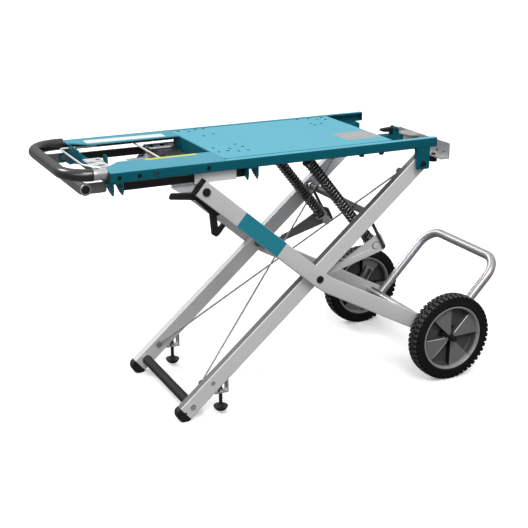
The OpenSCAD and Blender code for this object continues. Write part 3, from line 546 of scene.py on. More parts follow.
def cut(ob, cutters):
    """Takes the cutters (bmeshes made by the given functions) out of an object."""
    bm = bmesh.new()
    for make in cutters:
        make(bm)
    bmesh.ops.recalc_face_normals(bm, faces=bm.faces)
    me = bpy.data.meshes.new("cutter")
    bm.to_mesh(me)
    bm.free()
    co = bpy.data.objects.new("cutter", me)
    sc.collection.objects.link(co)
    mod = ob.modifiers.new("cut", "BOOLEAN")
    mod.operation, mod.object, mod.solver = "DIFFERENCE", co, "EXACT"
    bpy.context.view_layer.update()
    dg = bpy.context.evaluated_depsgraph_get()
    done = bpy.data.meshes.new_from_object(ob.evaluated_get(dg))
    ob.modifiers.clear()
    old = ob.data
    ob.data = done
    done.name = old.name + "_c"
    for p in done.polygons:
        p.use_smooth = True
    done.set_sharp_from_angle(angle=math.radians(35))
    bpy.data.objects.remove(co)
    bpy.data.meshes.remove(me)
    return ob


ANG = math.atan2(527.5 - 294, 272)
LINK = math.hypot(272, 527.5 - 294)
Y = Vector((0, 1, 0))


def along(s, b=0.0):
    """Point in XZ on the foot leg, s from the pivot and b above its centre line."""
    return (s * math.cos(ANG) - b * math.sin(ANG), 294 + s * math.sin(ANG) + b * math.cos(ANG))


# ---------------------------------------------------------------- wheel-frame legs
BEND_D, BEND_R, LEG_W = 24.0, 170.0, 38.0
BV = (BEND_D * math.cos(ANG), 294 - BEND_D * math.sin(ANG))
LOW = math.atan2(106 - BV[1], 340.7 - BV[0])
LOW_LEN = math.hypot(106 - BV[1], 340.7 - BV[0])
TURN = LOW + ANG
TANG = BEND_R * math.tan(TURN / 2)


def leg_centre():
    """Centre line of the bent leg in XZ, with its direction, from the top end to the axle end."""
    up = (-math.cos(ANG), math.sin(ANG))
    top = (up[0] * (LINK + 15), 294 + up[1] * (LINK + 15))
    t0 = (BV[0] + TANG * up[0], BV[1] + TANG * up[1])
    pts = [(top, -ANG)]
    for k in (0.25, 0.5, 0.75):
        pts.append(((top[0] + (t0[0] - top[0]) * k, top[1] + (t0[1] - top[1]) * k), -ANG))
    c = (t0[0] + BEND_R * math.sin(ANG), t0[1] + BEND_R * math.cos(ANG))
    for i in range(13):
        a = -PI / 2 - ANG + TURN * i / 12
        pts.append(((c[0] + BEND_R * math.cos(a), c[1] + BEND_R * math.sin(a)), -ANG + TURN * i / 12))
    end = (BV[0] + (LOW_LEN + 38) * math.cos(LOW), BV[1] + (LOW_LEN + 38) * math.sin(LOW))
    last = pts[-1][0]
    for k in (0.33, 0.66, 1.0):
        pts.append(((last[0] + (end[0] - last[0]) * k, last[1] + (end[1] - last[1]) * k), LOW))
    return pts


def rounded(w, h, r, n=4):
    out = []
    for cx, cy, a0 in ((w / 2 - r, h / 2 - r, 0), (-w / 2 + r, h / 2 - r, 90), (-w / 2 + r, -h / 2 + r, 180), (w / 2 - r, -h / 2 + r, 270)):
        out += arc(cx, cy, r, a0, a0 + 90, n)
    return out


def box_section_leg(name, s, node, mat):
    bm = bmesh.new()
    outer, inner = rounded(LEG_W, 20, 3.0), rounded(LEG_W - 4, 16, 1.2)
    yc = s * 170.5
    rings = []
    for (x, z), a in leg_centre():
        nx, nz = -math.sin(a), math.cos(a)
        rings.append([[bm.verts.new(P(x + u * nx, yc + v, z + u * nz)) for u, v in sec] for sec in (outer, inner)])
    n = len(outer)
    for p, q in zip(rings, rings[1:]):
        for j in (0, 1):
            for k in range(n):
                bm.faces.new((p[j][k], p[j][(k + 1) % n], q[j][(k + 1) % n], q[j][k]))
    for r in (rings[0], rings[-1]):
        for k in range(n):
            bm.faces.new((r[0][k], r[0][(k + 1) % n], r[1][(k + 1) % n], r[1][k]))
    return finish_obj(name, bm, "wheel_frame", mat, "leg", (node,), smooth=30)


box_section_leg("v_outer_leg_near", -1, "outer_leg_near", MAT["leg"])
box_section_leg("v_outer_leg_far", 1, "outer_leg_far", MAT["leg_far"])

# plain teal band on the near wheel leg
bm = bmesh.new()
up_dir = (-math.cos(ANG), math.sin(ANG))


def upper(s, u):
    """Point on the wheel leg's upper run, s from the pivot towards the deck and u across it."""
    return (s * up_dir[0] + u * math.sin(ANG), 294 + s * up_dir[1] + u * math.cos(ANG))


prism(bm, [upper(*q) for q in ((126, -18.2), (252, -18.2), (252, 18.2), (126, 18.2))], -180.75, -180.3)
finish_obj("leg_band_near", bm, "wheel_frame", MAT["teal_film"], "teal_rail", smooth=30, bevel=0.12, seg=1)


# ---------------------------------------------------------------- wheels
def wheel(side, body):
    s = 1 if side == "far" else -1
    out = Vector((0, s, 0))
    c = P(340.7, s * 206.7, 106)
    ex, ez = Vector((1, 0, 0)), Vector((0, 0, 1))

    def at(r, th, a):
        return c + (ex * math.cos(th) + ez * math.sin(th)) * (r / 1000) + out * (a / 1000)

    # tyre body
    base = [(79.7, 16.4), (80.8, 17.6), (83.5, 18.0), (86.8, 18.05), (87.6, 17.6), (92.5, 17.8), (97.2, 17.1), (99.8, 15.2), (101.9, 10.5), (102.8, 5.0), (102.9, 0.0)]
    prof = base + [(r, -a) for r, a in base[-2::-1]] + [(79.6, -15.9), (79.6, 15.9)]
    bm = bmesh.new()
    n = 96
    rings = []
    for k in range(n):
        th = 2 * PI * k / n
        rings.append([bm.verts.new(at(r, th, a)) for r, a in prof])
    for k in range(n):
        u, v = rings[k], rings[(k + 1) % n]
        for j in range(len(prof)):
            bm.faces.new((u[j], v[j], v[(j + 1) % len(prof)], u[(j + 1) % len(prof)]))

    # tread: columns of small skewed blocks, and lugs over each shoulder; the tops take a lighter rubber as a painted
    # glint
    count = 50
    pitch = 2 * PI / count
    columns = ((0.6, 5.3, 105.9, 105.8, 0.00, 0.34), (6.6, 11.2, 105.7, 105.2, 0.50, -0.34))
    lug = ((105.1, 12.4, 0.34), (104.9, 14.6, 0.34), (103.6, 16.8, 0.32), (100.6, 18.0, 0.28), (96.6, 18.4, 0.20))

    def block(th, row, a0, a1, r0, r1, skew, half):
        lower, upper_ring = [], []
        for a, r, e in ((a0, r0, 0.0), (a1, r1, skew)):
            for k in (-1, 1):
                lower.append(at(r - 6.4, th + e * pitch + k * half * 1.12 * pitch, row * (a + (0.25 if a == a1 else -0.25))))
                upper_ring.append(at(r, th + e * pitch + k * half * 0.84 * pitch, row * (a + (-0.35 if a == a1 else 0.35))))
        lo = [bm.verts.new(lower[i]) for i in (0, 1, 3, 2)]
        hi = [bm.verts.new(upper_ring[i]) for i in (0, 1, 3, 2)]
        bm.faces.new(hi).material_index = 1
        for i in range(4):
            bm.faces.new((lo[i], lo[(i + 1) % 4], hi[(i + 1) % 4], hi[i]))
        bm.faces.new(lo[::-1])

    for row in (1, -1):
        for a0, a1, r0, r1, phase, skew in columns:
            for k in range(count):
                block(pitch * (k + phase + (0.5 if row < 0 else 0.0)), row, a0, a1, r0, r1, skew, 0.37)
        for k in range(count):
            th = pitch * (k + 0.25 + (0.5 if row < 0 else 0.0))
            lo, hi = [], []
            for r, a, w in lug:
                for e in (-1, 1):
                    hi.append(bm.verts.new(at(r, th + e * w * pitch, row * a)))
                    lo.append(bm.verts.new(at(r - 5.2, th + e * w * 1.1 * pitch, row * (a - 3.4))))
            for i in range(0, 2 * len(lug) - 2, 2):
                bm.faces.new((hi[i], hi[i + 1], hi[i + 3], hi[i + 2])).material_index = 1 if i < 4 else 0
                for e in (0, 1):
                    bm.faces.new((hi[i + e], hi[i + 2 + e], lo[i + 2 + e], lo[i + e]))
                bm.faces.new((lo[i], lo[i + 2], lo[i + 3], lo[i + 1]))
            bm.faces.new((hi[0], hi[1], lo[1], lo[0]))
            bm.faces.new((hi[-2], hi[-1], lo[-1], lo[-2]))
    tyre = finish_obj(f"v_tyre_{side}", bm, body, MAT["tyre"], "tyre", (f"tyre_{side}",), smooth=32)
    tyre.data.materials.append(MAT["tread_painted_glint"])

    # rim: four raised sectors and four sunken ones that meet at the hub, inside a deep lip
    bm = bmesh.new()
    radii = [6.1, 8.4, 10.0, 16.0, 28.0, 40.0, 52.0, 62.0, 69.0, 71.5, 73.0, 74.0, 75.0, 76.2, 77.6, 79.3]
    lip = {73.0: 9.5, 74.0: 13.0, 75.0: 15.6, 76.2: 16.9, 77.6: 17.3, 79.3: 16.5}

    def height(r, raised):
        if r in lip:
            return lip[r]
        if raised:
            return {71.5: 7.6}.get(r, 9.0 - 1.6 * r / 70)
        if r < 9:
            return 7.5
        return {10.0: 3.0, 71.5: -4.6, 69.0: -6.8}.get(r, -6.0 - 1.0 * r / 70)

    steps = []
    for k in range(8):
        raised = k % 2 == 0
        e = 0.004 if raised else 0.010
        for j in range(9):
            steps.append((math.radians(45 * k) + e + (math.radians(45) - 2 * e) * j / 8, raised))
    grid = [[bm.verts.new(at(r, th, height(r, raised))) for r in radii] for th, raised in steps]
    gback = [[bm.verts.new(at(r, th, -height(r, not raised))) for r in radii] for th, raised in steps]
    m = len(steps)

    def rim_mat(k, j, front):
        """0 raised face, 1 sunken face in painted shade, 2 wall or sunken face near the hub in painted shadow, 3
        painted highlight edge, 4 lip with a painted highlight.
        """
        r = radii[j]
        if r >= 76.0:
            return 4
        up = steps[k][1] == front
        wall = steps[k][1] != steps[(k + 1) % m][1]
        if wall:
            turn = ((k + 1) // 9) % 8
            return (1 if turn in (1, 4) else 2) if front else 2
        if r >= 73.0:
            return 4
        if not up and r < 24:
            return 2
        return 0 if up else 1

    for k in range(m):
        u, v, p, q = grid[k], grid[(k + 1) % m], gback[k], gback[(k + 1) % m]
        for j in range(len(radii) - 1):
            bm.faces.new((u[j], v[j], v[j + 1], u[j + 1])).material_index = rim_mat(k, j, True)
            bm.faces.new((p[j + 1], q[j + 1], q[j], p[j])).material_index = rim_mat(k, j, False)
        bm.faces.new((u[-1], v[-1], q[-1], p[-1]))
        bm.faces.new((v[0], u[0], p[0], q[0]))
    rim = finish_obj(f"v_rim_{side}", bm, body, MAT["rim"], "rim", (f"rim_{side}",), smooth=26)
    # painted shade on sunken faces and walls, painted highlight on the lip
    for extra in ("rim_painted_shade", "rim_painted_shadow", "rim_painted_highlight", "rim_lip_painted_highlight"):
        rim.data.materials.append(MAT[extra])

    # painted highlights: bright strips along the edges of two of the raised sectors
    bm = bmesh.new()
    for deg, r0, r1, half, lift in ((45, 14, 67, 0.95, 0.55), (180, 16, 66, 0.5, 0.35), (225, 16, 66, 0.35, 0.3)):
        th = math.radians(deg) - (0.0 if deg != 180 else -0.004)
        n_r = 12
        side_dir = ex * -math.sin(th) + ez * math.cos(th)
        strip = []
        for i in range(n_r + 1):
            r = r0 + (r1 - r0) * i / n_r
            top = 9.0 - 1.6 * r / 70
            row_v = [bm.verts.new(at(r, th, top - 0.5) + side_dir * mm(-half)), bm.verts.new(at(r, th, top + lift) + side_dir * mm(-half * 0.5)),
                     bm.verts.new(at(r, th, top + lift) + side_dir * mm(half * 0.5)), bm.verts.new(at(r, th, top - 0.5) + side_dir * mm(half))]
            strip.append(row_v)
        for u, v in zip(strip, strip[1:]):
            for j in range(4):
                bm.faces.new((u[j], u[(j + 1) % 4], v[(j + 1) % 4], v[j]))
        bm.faces.new(strip[0][::-1])
        bm.faces.new(strip[-1])
    finish_obj(f"rim_edges_{side}", bm, body, MAT["rim_painted_highlight"], "rim", smooth=30)

    # hub sleeve round the axle
    bm = bmesh.new()
    lathe(bm, [(mm(6.15), mm(-19.8)), (mm(7.4), mm(-19.8)), (mm(8.3), mm(-5)), (mm(8.3), mm(5)), (mm(7.4), mm(19.8)), (mm(6.15), mm(19.8))], c, out, 28, closed=True)
    finish_obj(f"hub_sleeve_{side}", bm, body, MAT["black_plastic"], "rim", smooth=40)


wheel("near", "wheel_near")
wheel("far", "wheel_far")


# ---------------------------------------------------------------- springs
SP_D, SP_T = (-6.3, 562.0), (174.0, 336.0)
SP_LEN = math.hypot(SP_T[0] - SP_D[0], SP_T[1] - SP_D[1])


def coil(side):
    s = 1 if side == "far" else -1
    y = s * 115.0
    a, b = P(SP_D[0], y, SP_D[1]), P(SP_T[0], y, SP_T[1])
    d = (b - a).normalized()
    u = Y.copy()
    v = d.cross(u).normalized()
    wire, mean = 3.0, 13.45 - 3.0
    turns, n = 29, 18
    z0, z1 = 16.2 + wire, SP_LEN - 16.2 - wire
    pts = []
    total = turns * n
    flat_share = 0.9 * wire * 2 / (z1 - z0)
    for i in range(total + 1):
        t = i / total
        turn = t * turns
        # closed end coils, evenly pitched between them
        if turn < 1:
            z = turn * flat_share
        elif turn > turns - 1:
            z = 1 - (turns - turn) * flat_share
        else:
            z = flat_share + (1 - 2 * flat_share) * (turn - 1) / (turns - 2)
        th = 2 * PI * turn
        pts.append(a + d * mm(z0 + (z1 - z0) * z) + (u * math.cos(th) + v * math.sin(th)) * mm(mean))
    bm = bmesh.new()
    tube(bm, pts, mm(wire), 10)
    ob = finish_obj(f"v_coil_spring_{side}", bm, f"strut_{side}", MAT["spring_steel"], "spring_steel", (f"coil_spring_{side}",), smooth=60)
    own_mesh(ob)


coil("near")
coil("far")


# ---------------------------------------------------------------- foam sleeves
HX, HY, HB, HZ = -(569 - 13.0), 153.0, 62.0, 583.0


def handle_line(a_near, straight_far):
    pts = []
    for i in range(25):
        a = math.radians(180 + a_near - a_near * i / 24)
        pts.append(P(HX + HB + HB * math.cos(a), -(HY - HB) + HB * math.sin(a), HZ))
    for i in range(1, 24):
        pts.append(P(HX, -(HY - HB) + 2 * (HY - HB) * i / 24, HZ))
    for i in range(25):
        a = math.radians(180 - 90 * i / 24)
        pts.append(P(HX + HB + HB * math.cos(a), HY - HB + HB * math.sin(a), HZ))
    for i in range(1, 4):
        pts.append(P(HX + HB + straight_far * i / 3, HY, HZ))
    return pts


def foam(name, pts, r, body, node, swell=0.0):
    """Foam sleeve: rounded ends, slight swelling from stretching over the tube."""
    lengths = [0.0]
    for p, q in zip(pts, pts[1:]):
        lengths.append(lengths[-1] + (q - p).length)
    total = lengths[-1]
    rng = random.Random(7)
    waves = [(rng.uniform(20, 70), rng.uniform(0, 6.28), rng.uniform(0.2, 0.6)) for _ in range(5)]
    fine, radii = [], []
    ends = [0.0, 0.0004, 0.0012, 0.0025]
    marks = sorted(set([e for e in ends] + [total - e for e in ends] + [total * i / 120 for i in range(1, 120)]))
    j = 0
    for m in marks:
        while j < len(lengths) - 2 and lengths[j + 1] < m:
            j += 1
        t = (m - lengths[j]) / max(1e-9, lengths[j + 1] - lengths[j])
        fine.append(pts[j].lerp(pts[j + 1], t))
        e = min(m, total - m)
        drop = 2.4 * (1 - math.sqrt(max(0.0, 1 - (1 - min(1.0, e / 0.0025)) ** 2)))
        wob = sum(w * math.sin(f * m + ph) for f, ph, w in waves) * 0.06
        radii.append(mm(r - 0.22 + max(-0.25, min(0.2, wob)) - drop))
    bm = bmesh.new()
    tube(bm, fine, radii, 28)
    return finish_obj(name, bm, body, MAT["foam" if body == "deck" else "grip"], "foam", (node,), smooth=50)


foam("v_handle_grip", handle_line(81.6, 16.6), 13.0, "deck", "handle_grip")
fx, fz = along(-400)
foam("v_foot_bar_grip", [P(fx, -132.5 + 265 * i / 30, fz) for i in range(31)], 11.5, "foot_frame", "foot_bar_grip")


# ---------------------------------------------------------------- deck
PLATE = (-219.0, 195.0)


def mirror(pts, s):
    return [(x, s * y) for x, y in pts]


for side, s in (("near", -1), ("far", 1)):
    # rail: folded sheet with a rounded top corner
    def prof(inner_top):
        outer = [(s * 172.8, 567.6), (s * 172.8, 584.4)] + [(s * y, z) for y, z in arc(169.2, 584.4, 3.6, 0, 90, 6)][1:]
        return outer + [(s * inner_top, 588.0), (s * inner_top, 583.5), (s * 169.6, 583.5), (s * 169.6, 568.9), (s * 161.2, 568.9), (s * 161.2, 566.4), (s * 171.4, 566.4)]
    bm = bmesh.new()
    along_x(bm, prof(159.5), -474.5, 301.0)
    rail = finish_obj(f"v_side_rail_{side}", bm, "deck", MAT["teal_rail"], "teal_rail", (f"side_rail_{side}",), smooth=40)

    def bores(b, s=s):
        for x in (-456, -413, -377, -262):
            lathe(b, [(0, -0.012), (mm(5), -0.012), (mm(5), 0.012), (0, 0.012)], P(x, s * 172, 575.5), Y, 24)
    cut(rail, [bores])
    bm = bmesh.new()
    bm.from_mesh(rail.data)
    bmesh.ops.bisect_plane(bm, geom=bm.verts[:] + bm.edges[:] + bm.faces[:], plane_co=P(PLATE[0] - 0.3, 0, 0), plane_no=(1, 0, 0))
    bm.to_mesh(rail.data)
    bm.free()
    rail.data.set_sharp_from_angle(angle=math.radians(35))
    # painted light: the rail's upward top faces take the lit teal right of the plate and the dim teal left of it, all
    # other faces the dark shaded teal
    rail.data.materials.clear()
    rail.data.materials.append(MAT["teal_rail"])
    rail.data.materials.append(MAT["teal_top"])
    rail.data.materials.append(MAT["teal_painted_dim"])
    for p in rail.data.polygons:
        p.material_index = (1 if p.center.x > (XS + PLATE[0]) / 1000 else 2) if p.normal.z > 0.72 and p.center.z > 0.5855 else 0

# flanges over the open left end, in the dimmer painted-shade copy of the deck teal
bm = bmesh.new()
flat(bm, [(-474.5, -159.2), (PLATE[0] - 0.6, -159.2), (PLATE[0] - 0.6, -83), (-430, -83), (-469, -125), (-474.5, -128)], 585.5, 588)
flat(bm, [(-474.5, 159.2), (PLATE[0] - 0.6, 159.2), (PLATE[0] - 0.6, 100), (-430, 100), (-462, 128), (-474.5, 130)], 585.5, 588)
finish_obj("v_deck_flanges", bm, "deck", MAT["teal_painted_dim"], "teal_top", ("deck_flanges",), smooth=30)

# plate with its bolt holes
PATTERNS = [(-14.5, 25, 379, 236), (1, 22, 280, 250), (0.5, 22, 283, 120), (-25.5, 0, 287, 142)]
HOLES = [(cx + i * sx / 2, cy + j * sy / 2) for cx, cy, sx, sy in PATTERNS for i in (-1, 1) for j in (-1, 1)]
HOLES += [(-182, -90), (-182, 130), (-162, -103), (-160, 145), (-200, -52), (-136, -66), (111, 149), (157, 130), (173, 118), (118, 92)]
bm = bmesh.new()
x0, x1, yh, R = PLATE[0], PLATE[1], 153.8, 6.0
edge = arc(x0 + R, -yh + R, R, 180, 270, 5) + [(x1, -yh)] + [(x1, yh)] + arc(x0 + R, yh - R, R, 90, 180, 5)
flat(bm, edge, 585.5, 588)
plate = finish_obj("v_deck_plate", bm, "deck", MAT["teal_top"], "teal_top", ("deck_plate",), smooth=30)


def plate_bores(b):
    for x, y in HOLES:
        lathe(b, [(0, -0.006), (mm(3.7), -0.006), (mm(3.7), 0.0016), (mm(4.4), 0.0032), (0, 0.0032)], P(x, y, 586), Vector((0, 0, 1)), 20)


cut(plate, [plate_bores])
bm = bmesh.new()
for s in (-1, 1):
    slab_box(bm, x0, x1 - 2.8, *sorted((s * 150.0, s * 163.0)), 583.6, 585.45)
finish_obj("plate_joint_floor", bm, "deck", MAT["teal_rail"], "teal_rail", smooth=30)
# painted shade: the side walls of the plate's bores take the black steel instead of the teal
plate.data.materials.append(MAT["black_steel"])
for p in plate.data.polygons:
    inside = abs(p.center.y) < 0.1532 and XS / 1000 + mm(x0 + 1) < p.center.x < XS / 1000 + mm(x1 - 1)
    p.material_index = 1 if inside and abs(p.normal.z) < 0.9 else 0
# painted shade: dark sleeves under the holes so that the holes read dark
bm = bmesh.new()
for x, y in HOLES:
    if y > -160 and abs(x - 192) > 6:
        lathe(bm, [(mm(3.8), mm(-6.2)), (mm(4.8), mm(-6.2)), (mm(4.8), mm(-0.05)), (mm(3.8), mm(-0.05))], P(x, y, 585.5), Vector((0, 0, 1)), 14, closed=True)
finish_obj("plate_hole_shade_sleeves", bm, "deck", MAT["black_steel"], smooth=40)

# folded walls below the plate's ends
bm = bmesh.new()
ya = 137.5
prof = [(x0 + 0.0, 549.0), (x0 + 2.5, 549.0), (x0 + 2.5, 585.45), (x0, 585.45)]
prism(bm, prof, -ya, ya)
finish_obj("plate_wall_left", bm, "deck", MAT["teal_rail"], "teal_rail", smooth=30, bevel=0.6)
bm = bmesh.new()
for yy0, yy1, zz0 in ((-159.8, -32.2, 567.0), (-7.8, 159.8, 567.0), (-32.2, -7.8, 568.4)):
    prism(bm, [(x1 - 2.5, zz0), (x1, zz0), (x1, 585.45), (x1 - 2.5, 585.45)], yy0, yy1)
finish_obj("plate_wall_right", bm, "deck", MAT["teal_rail"], "teal_rail", smooth=30)

# blank labels
bm = bmesh.new()
flat(bm, [(-434, 112), (-249, 106.5), (-249, 136.5), (-434, 143)], 587.95, 588.25)
finish_obj("label_white_far", bm, "deck", MAT["white_label"], smooth=30, bevel=0.1, seg=1)
bm = bmesh.new()
flat(bm, [(-371, -84.5), (-371, -96.0), (-256, -96.0), (-256, -84.5)], 587.95, 588.25)
finish_obj("stripe_yellow_near", bm, "deck", MAT["yellow"], smooth=30, bevel=0.1, seg=1)
bm = bmesh.new()
flat(bm, [(104, -34), (104, -112), (194, -112), (194, -34)], 587.95, 588.25)
finish_obj("plate_blank_grey", bm, "deck", MAT["grey_plate"], smooth=30, bevel=0.1, seg=1)

# ---------------------------------------------------------------- the other nodes: rounded edges
BEVEL = {
    "inner_leg_near": 0.4, "inner_leg_far": 0.4, "foot_caps": 2.0, "foot_bar": 0.5, "leg_cross_tube": 0.4, "pivot_tube": 0.4,
    "pivot_bolt": 0.9, "spring_arms": 0.7, "spring_ties": 0.7, "leveller_brackets": 0.4, "frame_bolts": 0.6,
    "leg_end_plugs": 1.0, "axle": 0.6, "axle_tube": 0.4, "wheel_frame_fasteners": 0.7, "rear_hoop": 0.4, "latch_loop": 0.6,
    "carriages": 0.7, "carriage_plate": 0.6, "slide_pins": 0.8, "hook_lever": 1.6, "cross_channel_left": 0.6,
    "cross_channel_middle": 0.6, "slide_rails": 0.8, "hinge_brackets": 0.6, "hinge_pins": 0.7, "spring_mounts": 0.7,
    "handle_tube": 0.4, "lever_brackets": 0.7, "rail_caps": 0.6, "bumpers": 0.8, "support_sleeve": 0.7, "release_lever": 1.0,
    "support_bar": 0.7, "support_plate": 0.7, "support_foot": 1.0, "clamp_lever": 1.4,
    "spring_rod_near": 0.5, "spring_rod_far": 0.5, "trunnion_near": 0.6, "trunnion_far": 0.6, "leveller_near": 0.7, "leveller_far": 0.7,
}
BEVEL["latch_bracket"] = 0.5
SPECIAL = {"rear_hoop": "hoop", "spring_arms": "bright_plate", "latch_bracket": "bright_plate", "spring_ties": "strap", "inner_leg_near": "leg_inner", "inner_leg_far": "leg_far", "support_plate": "end_plate", "support_bar": "bright_plate", "axle": "black_steel",
           "leg_cross_tube": "mid_tube", "clamp_lever": "black_plastic"}


def slim_nuts(co):
    """The black axle nuts, a little smaller than their washers' outline."""
    if abs(co.y) < 0.2268:
        return co
    c = P(340.7, 0, 106)
    return Vector((c.x + (co.x - c.x) * 0.78, co.y, c.z + (co.z - c.z) * 0.78))


def sunk_heads(co):
    """Hinge pin ends level with the inside of their brackets' outer walls."""
    return Vector((co.x, math.copysign(min(abs(co.y), 0.1706), co.y), co.z))


def hidden_bolts(co):
    """Bolt heads of the upper foot frame level with the leg's wall."""
    return Vector((co.x, math.copysign(min(abs(co.y), 0.15795), co.y), co.z)) if co.x > 0 else co


def short_inner_wall(co):
    """The hinge brackets' inner walls stop just under the rail."""
    if 0.134 < co.y < 0.1598:
        return Vector((min(co.x, mm(281 + XS)), co.y, co.z))
    return Vector((co.x, co.y, max(co.z, 0.5602))) if -0.1376 < co.y < 0 else co


ROD_D = Vector(((SP_T[0] - SP_D[0]) / SP_LEN, 0, (SP_T[1] - SP_D[1]) / SP_LEN))


def short_rod(co):
    """Brings the rod's end nuts close to the swivel block."""
    t = (co - P(SP_D[0], co.y * 1000, SP_D[1])).dot(ROD_D)
    stop = (SP_LEN + 8) / 1000
    return co - ROD_D * ((t - stop) * 0.45) if t > stop else co


TWEAK = {"wheel_frame_fasteners": slim_nuts, "hinge_pins": sunk_heads, "frame_bolts": hidden_bolts,
         "hinge_brackets": short_inner_wall, "spring_rod_near": short_rod, "spring_rod_far": short_rod}
for node, width in BEVEL.items():
    made = refine(node, 0.0 if node in ("hinge_pins", "hinge_brackets") else width, mat=MAT[SPECIAL[node]] if node in SPECIAL else None, tweak=TWEAK.get(node))
    if node == "spring_arms":
        # painted shade: the far spring arm's faces take a darker copy of the plate finish
        made.data.materials.append(MAT["far_arm_painted_shade"])
        for p in made.data.polygons:
            p.material_index = 1 if p.center.y > 0 else 0
    elif node == "frame_bolts":
        made.data.materials.append(MAT["leg_inner"])
        for p in made.data.polygons:
            p.material_index = 1 if p.center.x > 0.01 and p.center.y < 0 else 0
    elif node == "inner_leg_near":
        # painted shade: the near inner leg's narrow top face takes a dark grey copy of the leg paint
        made.data.materials.append(MAT["leg_top_painted_shade"])
        lie = Vector((-math.sin(ANG), 0, math.cos(ANG)))
        for p in made.data.polygons:
            p.material_index = 1 if p.normal.dot(lie) > 0.93 and p.area > 1e-5 else 0
    elif node.startswith("spring_rod"):
        made.data.materials.append(MAT["zinc"])
        for p in made.data.polygons:
            t = (p.center - P(SP_D[0], p.center.y * 1000, SP_D[1])).dot(ROD_D)
            off = (p.center - P(SP_D[0], 0, SP_D[1])) - ROD_D * t
            off.y = abs(p.center.y) - 0.115
            p.material_index = 1 if t > (SP_LEN + 8) / 1000 and off.length > 0.0042 else 0


def disc(name, body, mat, centre, axis, r, h, n=24, slot=None, dome=0.25):
    """A low round head: centre on its seat, h tall, with a rounded rim."""
    bm = bmesh.new()
    lathe(bm, [(0, 0), (mm(r), 0), (mm(r), mm(h * 0.5)), (mm(r - h * 0.3), mm(h * 0.85)), (mm(r * 0.6), mm(h)), (0, mm(h + dome * 0.3))], centre, axis, n)
    return finish_obj(name, bm, body, mat, slot, smooth=35)


for side, s in (("near", -1), ("far", 1)):
    out = Vector((0, s, 0))
    # painted shade: a thin dark teal rounded triangle round each hinge pin, standing for a shaded recess
    bm = bmesh.new()
    tri = []
    for cx, cz in ((262.4, 525.4), (272.6, 525.4), (267.5, 534.2)):
        tri.append((cx, cz))
    outline = []
    for (cx, cz), a0 in zip(tri, (150, 270, 30)):
        outline += arc(cx, cz, 3.0, a0, a0 + 120, 6)
    prism(bm, outline, *sorted((s * 172.45, s * 172.8)))
    finish_obj(f"hinge_recess_{side}", bm, "deck", MAT["recess"], smooth=30)
    # pale ring and a round black nut on the lever's boss
    bm = bmesh.new()
    lathe(bm, [(mm(8.6), 0.0), (mm(11.6), 0.0), (mm(11.6), mm(0.7)), (mm(11.1), mm(1.1)), (mm(9.0), mm(1.1)), (mm(8.6), mm(0.8))], P(-519, s * 144.9, 553), out, 36, closed=True)
    finish_obj(f"lever_ring_{side}", bm, "release_lever", MAT["zinc"], smooth=40)
    disc(f"lever_nut_{side}", "release_lever", MAT["black_steel"], P(-519, s * 147.9, 553), out, 8.3, 0.9)
    # pressed rib along each spring arm
    bm = bmesh.new()
    c0, c1 = (64.9, 299.4), (160.0, 322.8)
    a = math.degrees(math.atan2(c1[1] - c0[1], c1[0] - c0[0]))
    for grow, d0, d1 in ((0.0, 133.4, 134.2), (-1.1, 134.2, 134.9)):
        outline = arc(c0[0], c0[1], 5.2 + grow, a + 90, a + 270, 10) + arc(c1[0], c1[1], 7.0 + grow, a - 90, a + 90, 10)
        prism(bm, outline, *sorted((s * d0, s * d1)))
    finish_obj(f"spring_arm_rib_{side}", bm, "foot_frame", MAT["bright_plate"], smooth=30, bevel=0.3)
    disc(f"spring_arm_seat_{side}", "foot_frame", MAT["black_steel"], P(173, s * 133.6, 336.5), out, 9.4, 1.0)
    disc(f"spring_arm_bolt_{side}", "foot_frame", MAT["bright_plate"], P(173, s * 134.9, 336.5), out, 8.0, 1.2)
    # black dot on each foot cap
    fx, fz = along(-421, 1)
    disc(f"foot_cap_pin_{side}", "foot_frame", MAT["black_steel"], P(fx, s * 157.9, fz), out, 2.6, 0.5, 16)
    # bolts that hold the carriage's cross plate
    for i, x in enumerate((-278, -252)):
        disc(f"carriage_bolt_{side}_{i}", "carriage", MAT["black_steel"], P(x, s * 126, 562.8), Vector((0, 0, 1)), 5.0, 3.6)
    # nut-shaped dark discs inside the rail behind its bores, painted shade that makes the bores read dark
    bm = bmesh.new()
    for x in (-456, -413, -377, -262):
        lathe(bm, [(0, mm(-4.0)), (mm(7.0), mm(-4.0)), (mm(7.0), 0), (0, 0)], P(x, s * 169.55, 575.5), out, 18)
    finish_obj(f"rail_nuts_{side}", bm, "deck", MAT["black_steel"], smooth=30)
    # screw in the third bore of the rail
    disc(f"rail_screw_{side}", "deck", MAT["dark_tube"], P(-377, s * 170.4, 575.5), out, 3.9, 1.2, 20)

# plated collar on the far end of the spring cross tube
bm = bmesh.new()
cx, cz = along(192.4)
lathe(bm, [(mm(8.6), mm(-6)), (mm(10.6), mm(-6)), (mm(12.0), mm(-3.5)), (mm(12.0), mm(0)), (mm(8.6), mm(0))], P(cx, 133.2, cz), Y, 32, closed=True)
finish_obj("cross_tube_collar_far", bm, "foot_frame", MAT["zinc"], smooth=35)

# tie rods: thin wire with flattened, offset ends, passing just above the cross tube
def wire(name, body, mat, pts, r, slot, replaces=(), bend=9.0, n=14):
    path = [pts[0]]
    for a, b, c in zip(pts, pts[1:], pts[2:]):
        k = min(mm(bend), (a - b).length * 0.45, (c - b).length * 0.45)
        p, q = b + (a - b).normalized() * k, b + (c - b).normalized() * k
        for i in range(7):
            t = i / 6
            path.append(p * (1 - t) ** 2 + b * 2 * t * (1 - t) + q * t * t)
    path.append(pts[-1])
    bm = bmesh.new()
    tube(bm, path, mm(r), n)
    return finish_obj(name, bm, body, mat, slot, replaces=replaces, smooth=50)


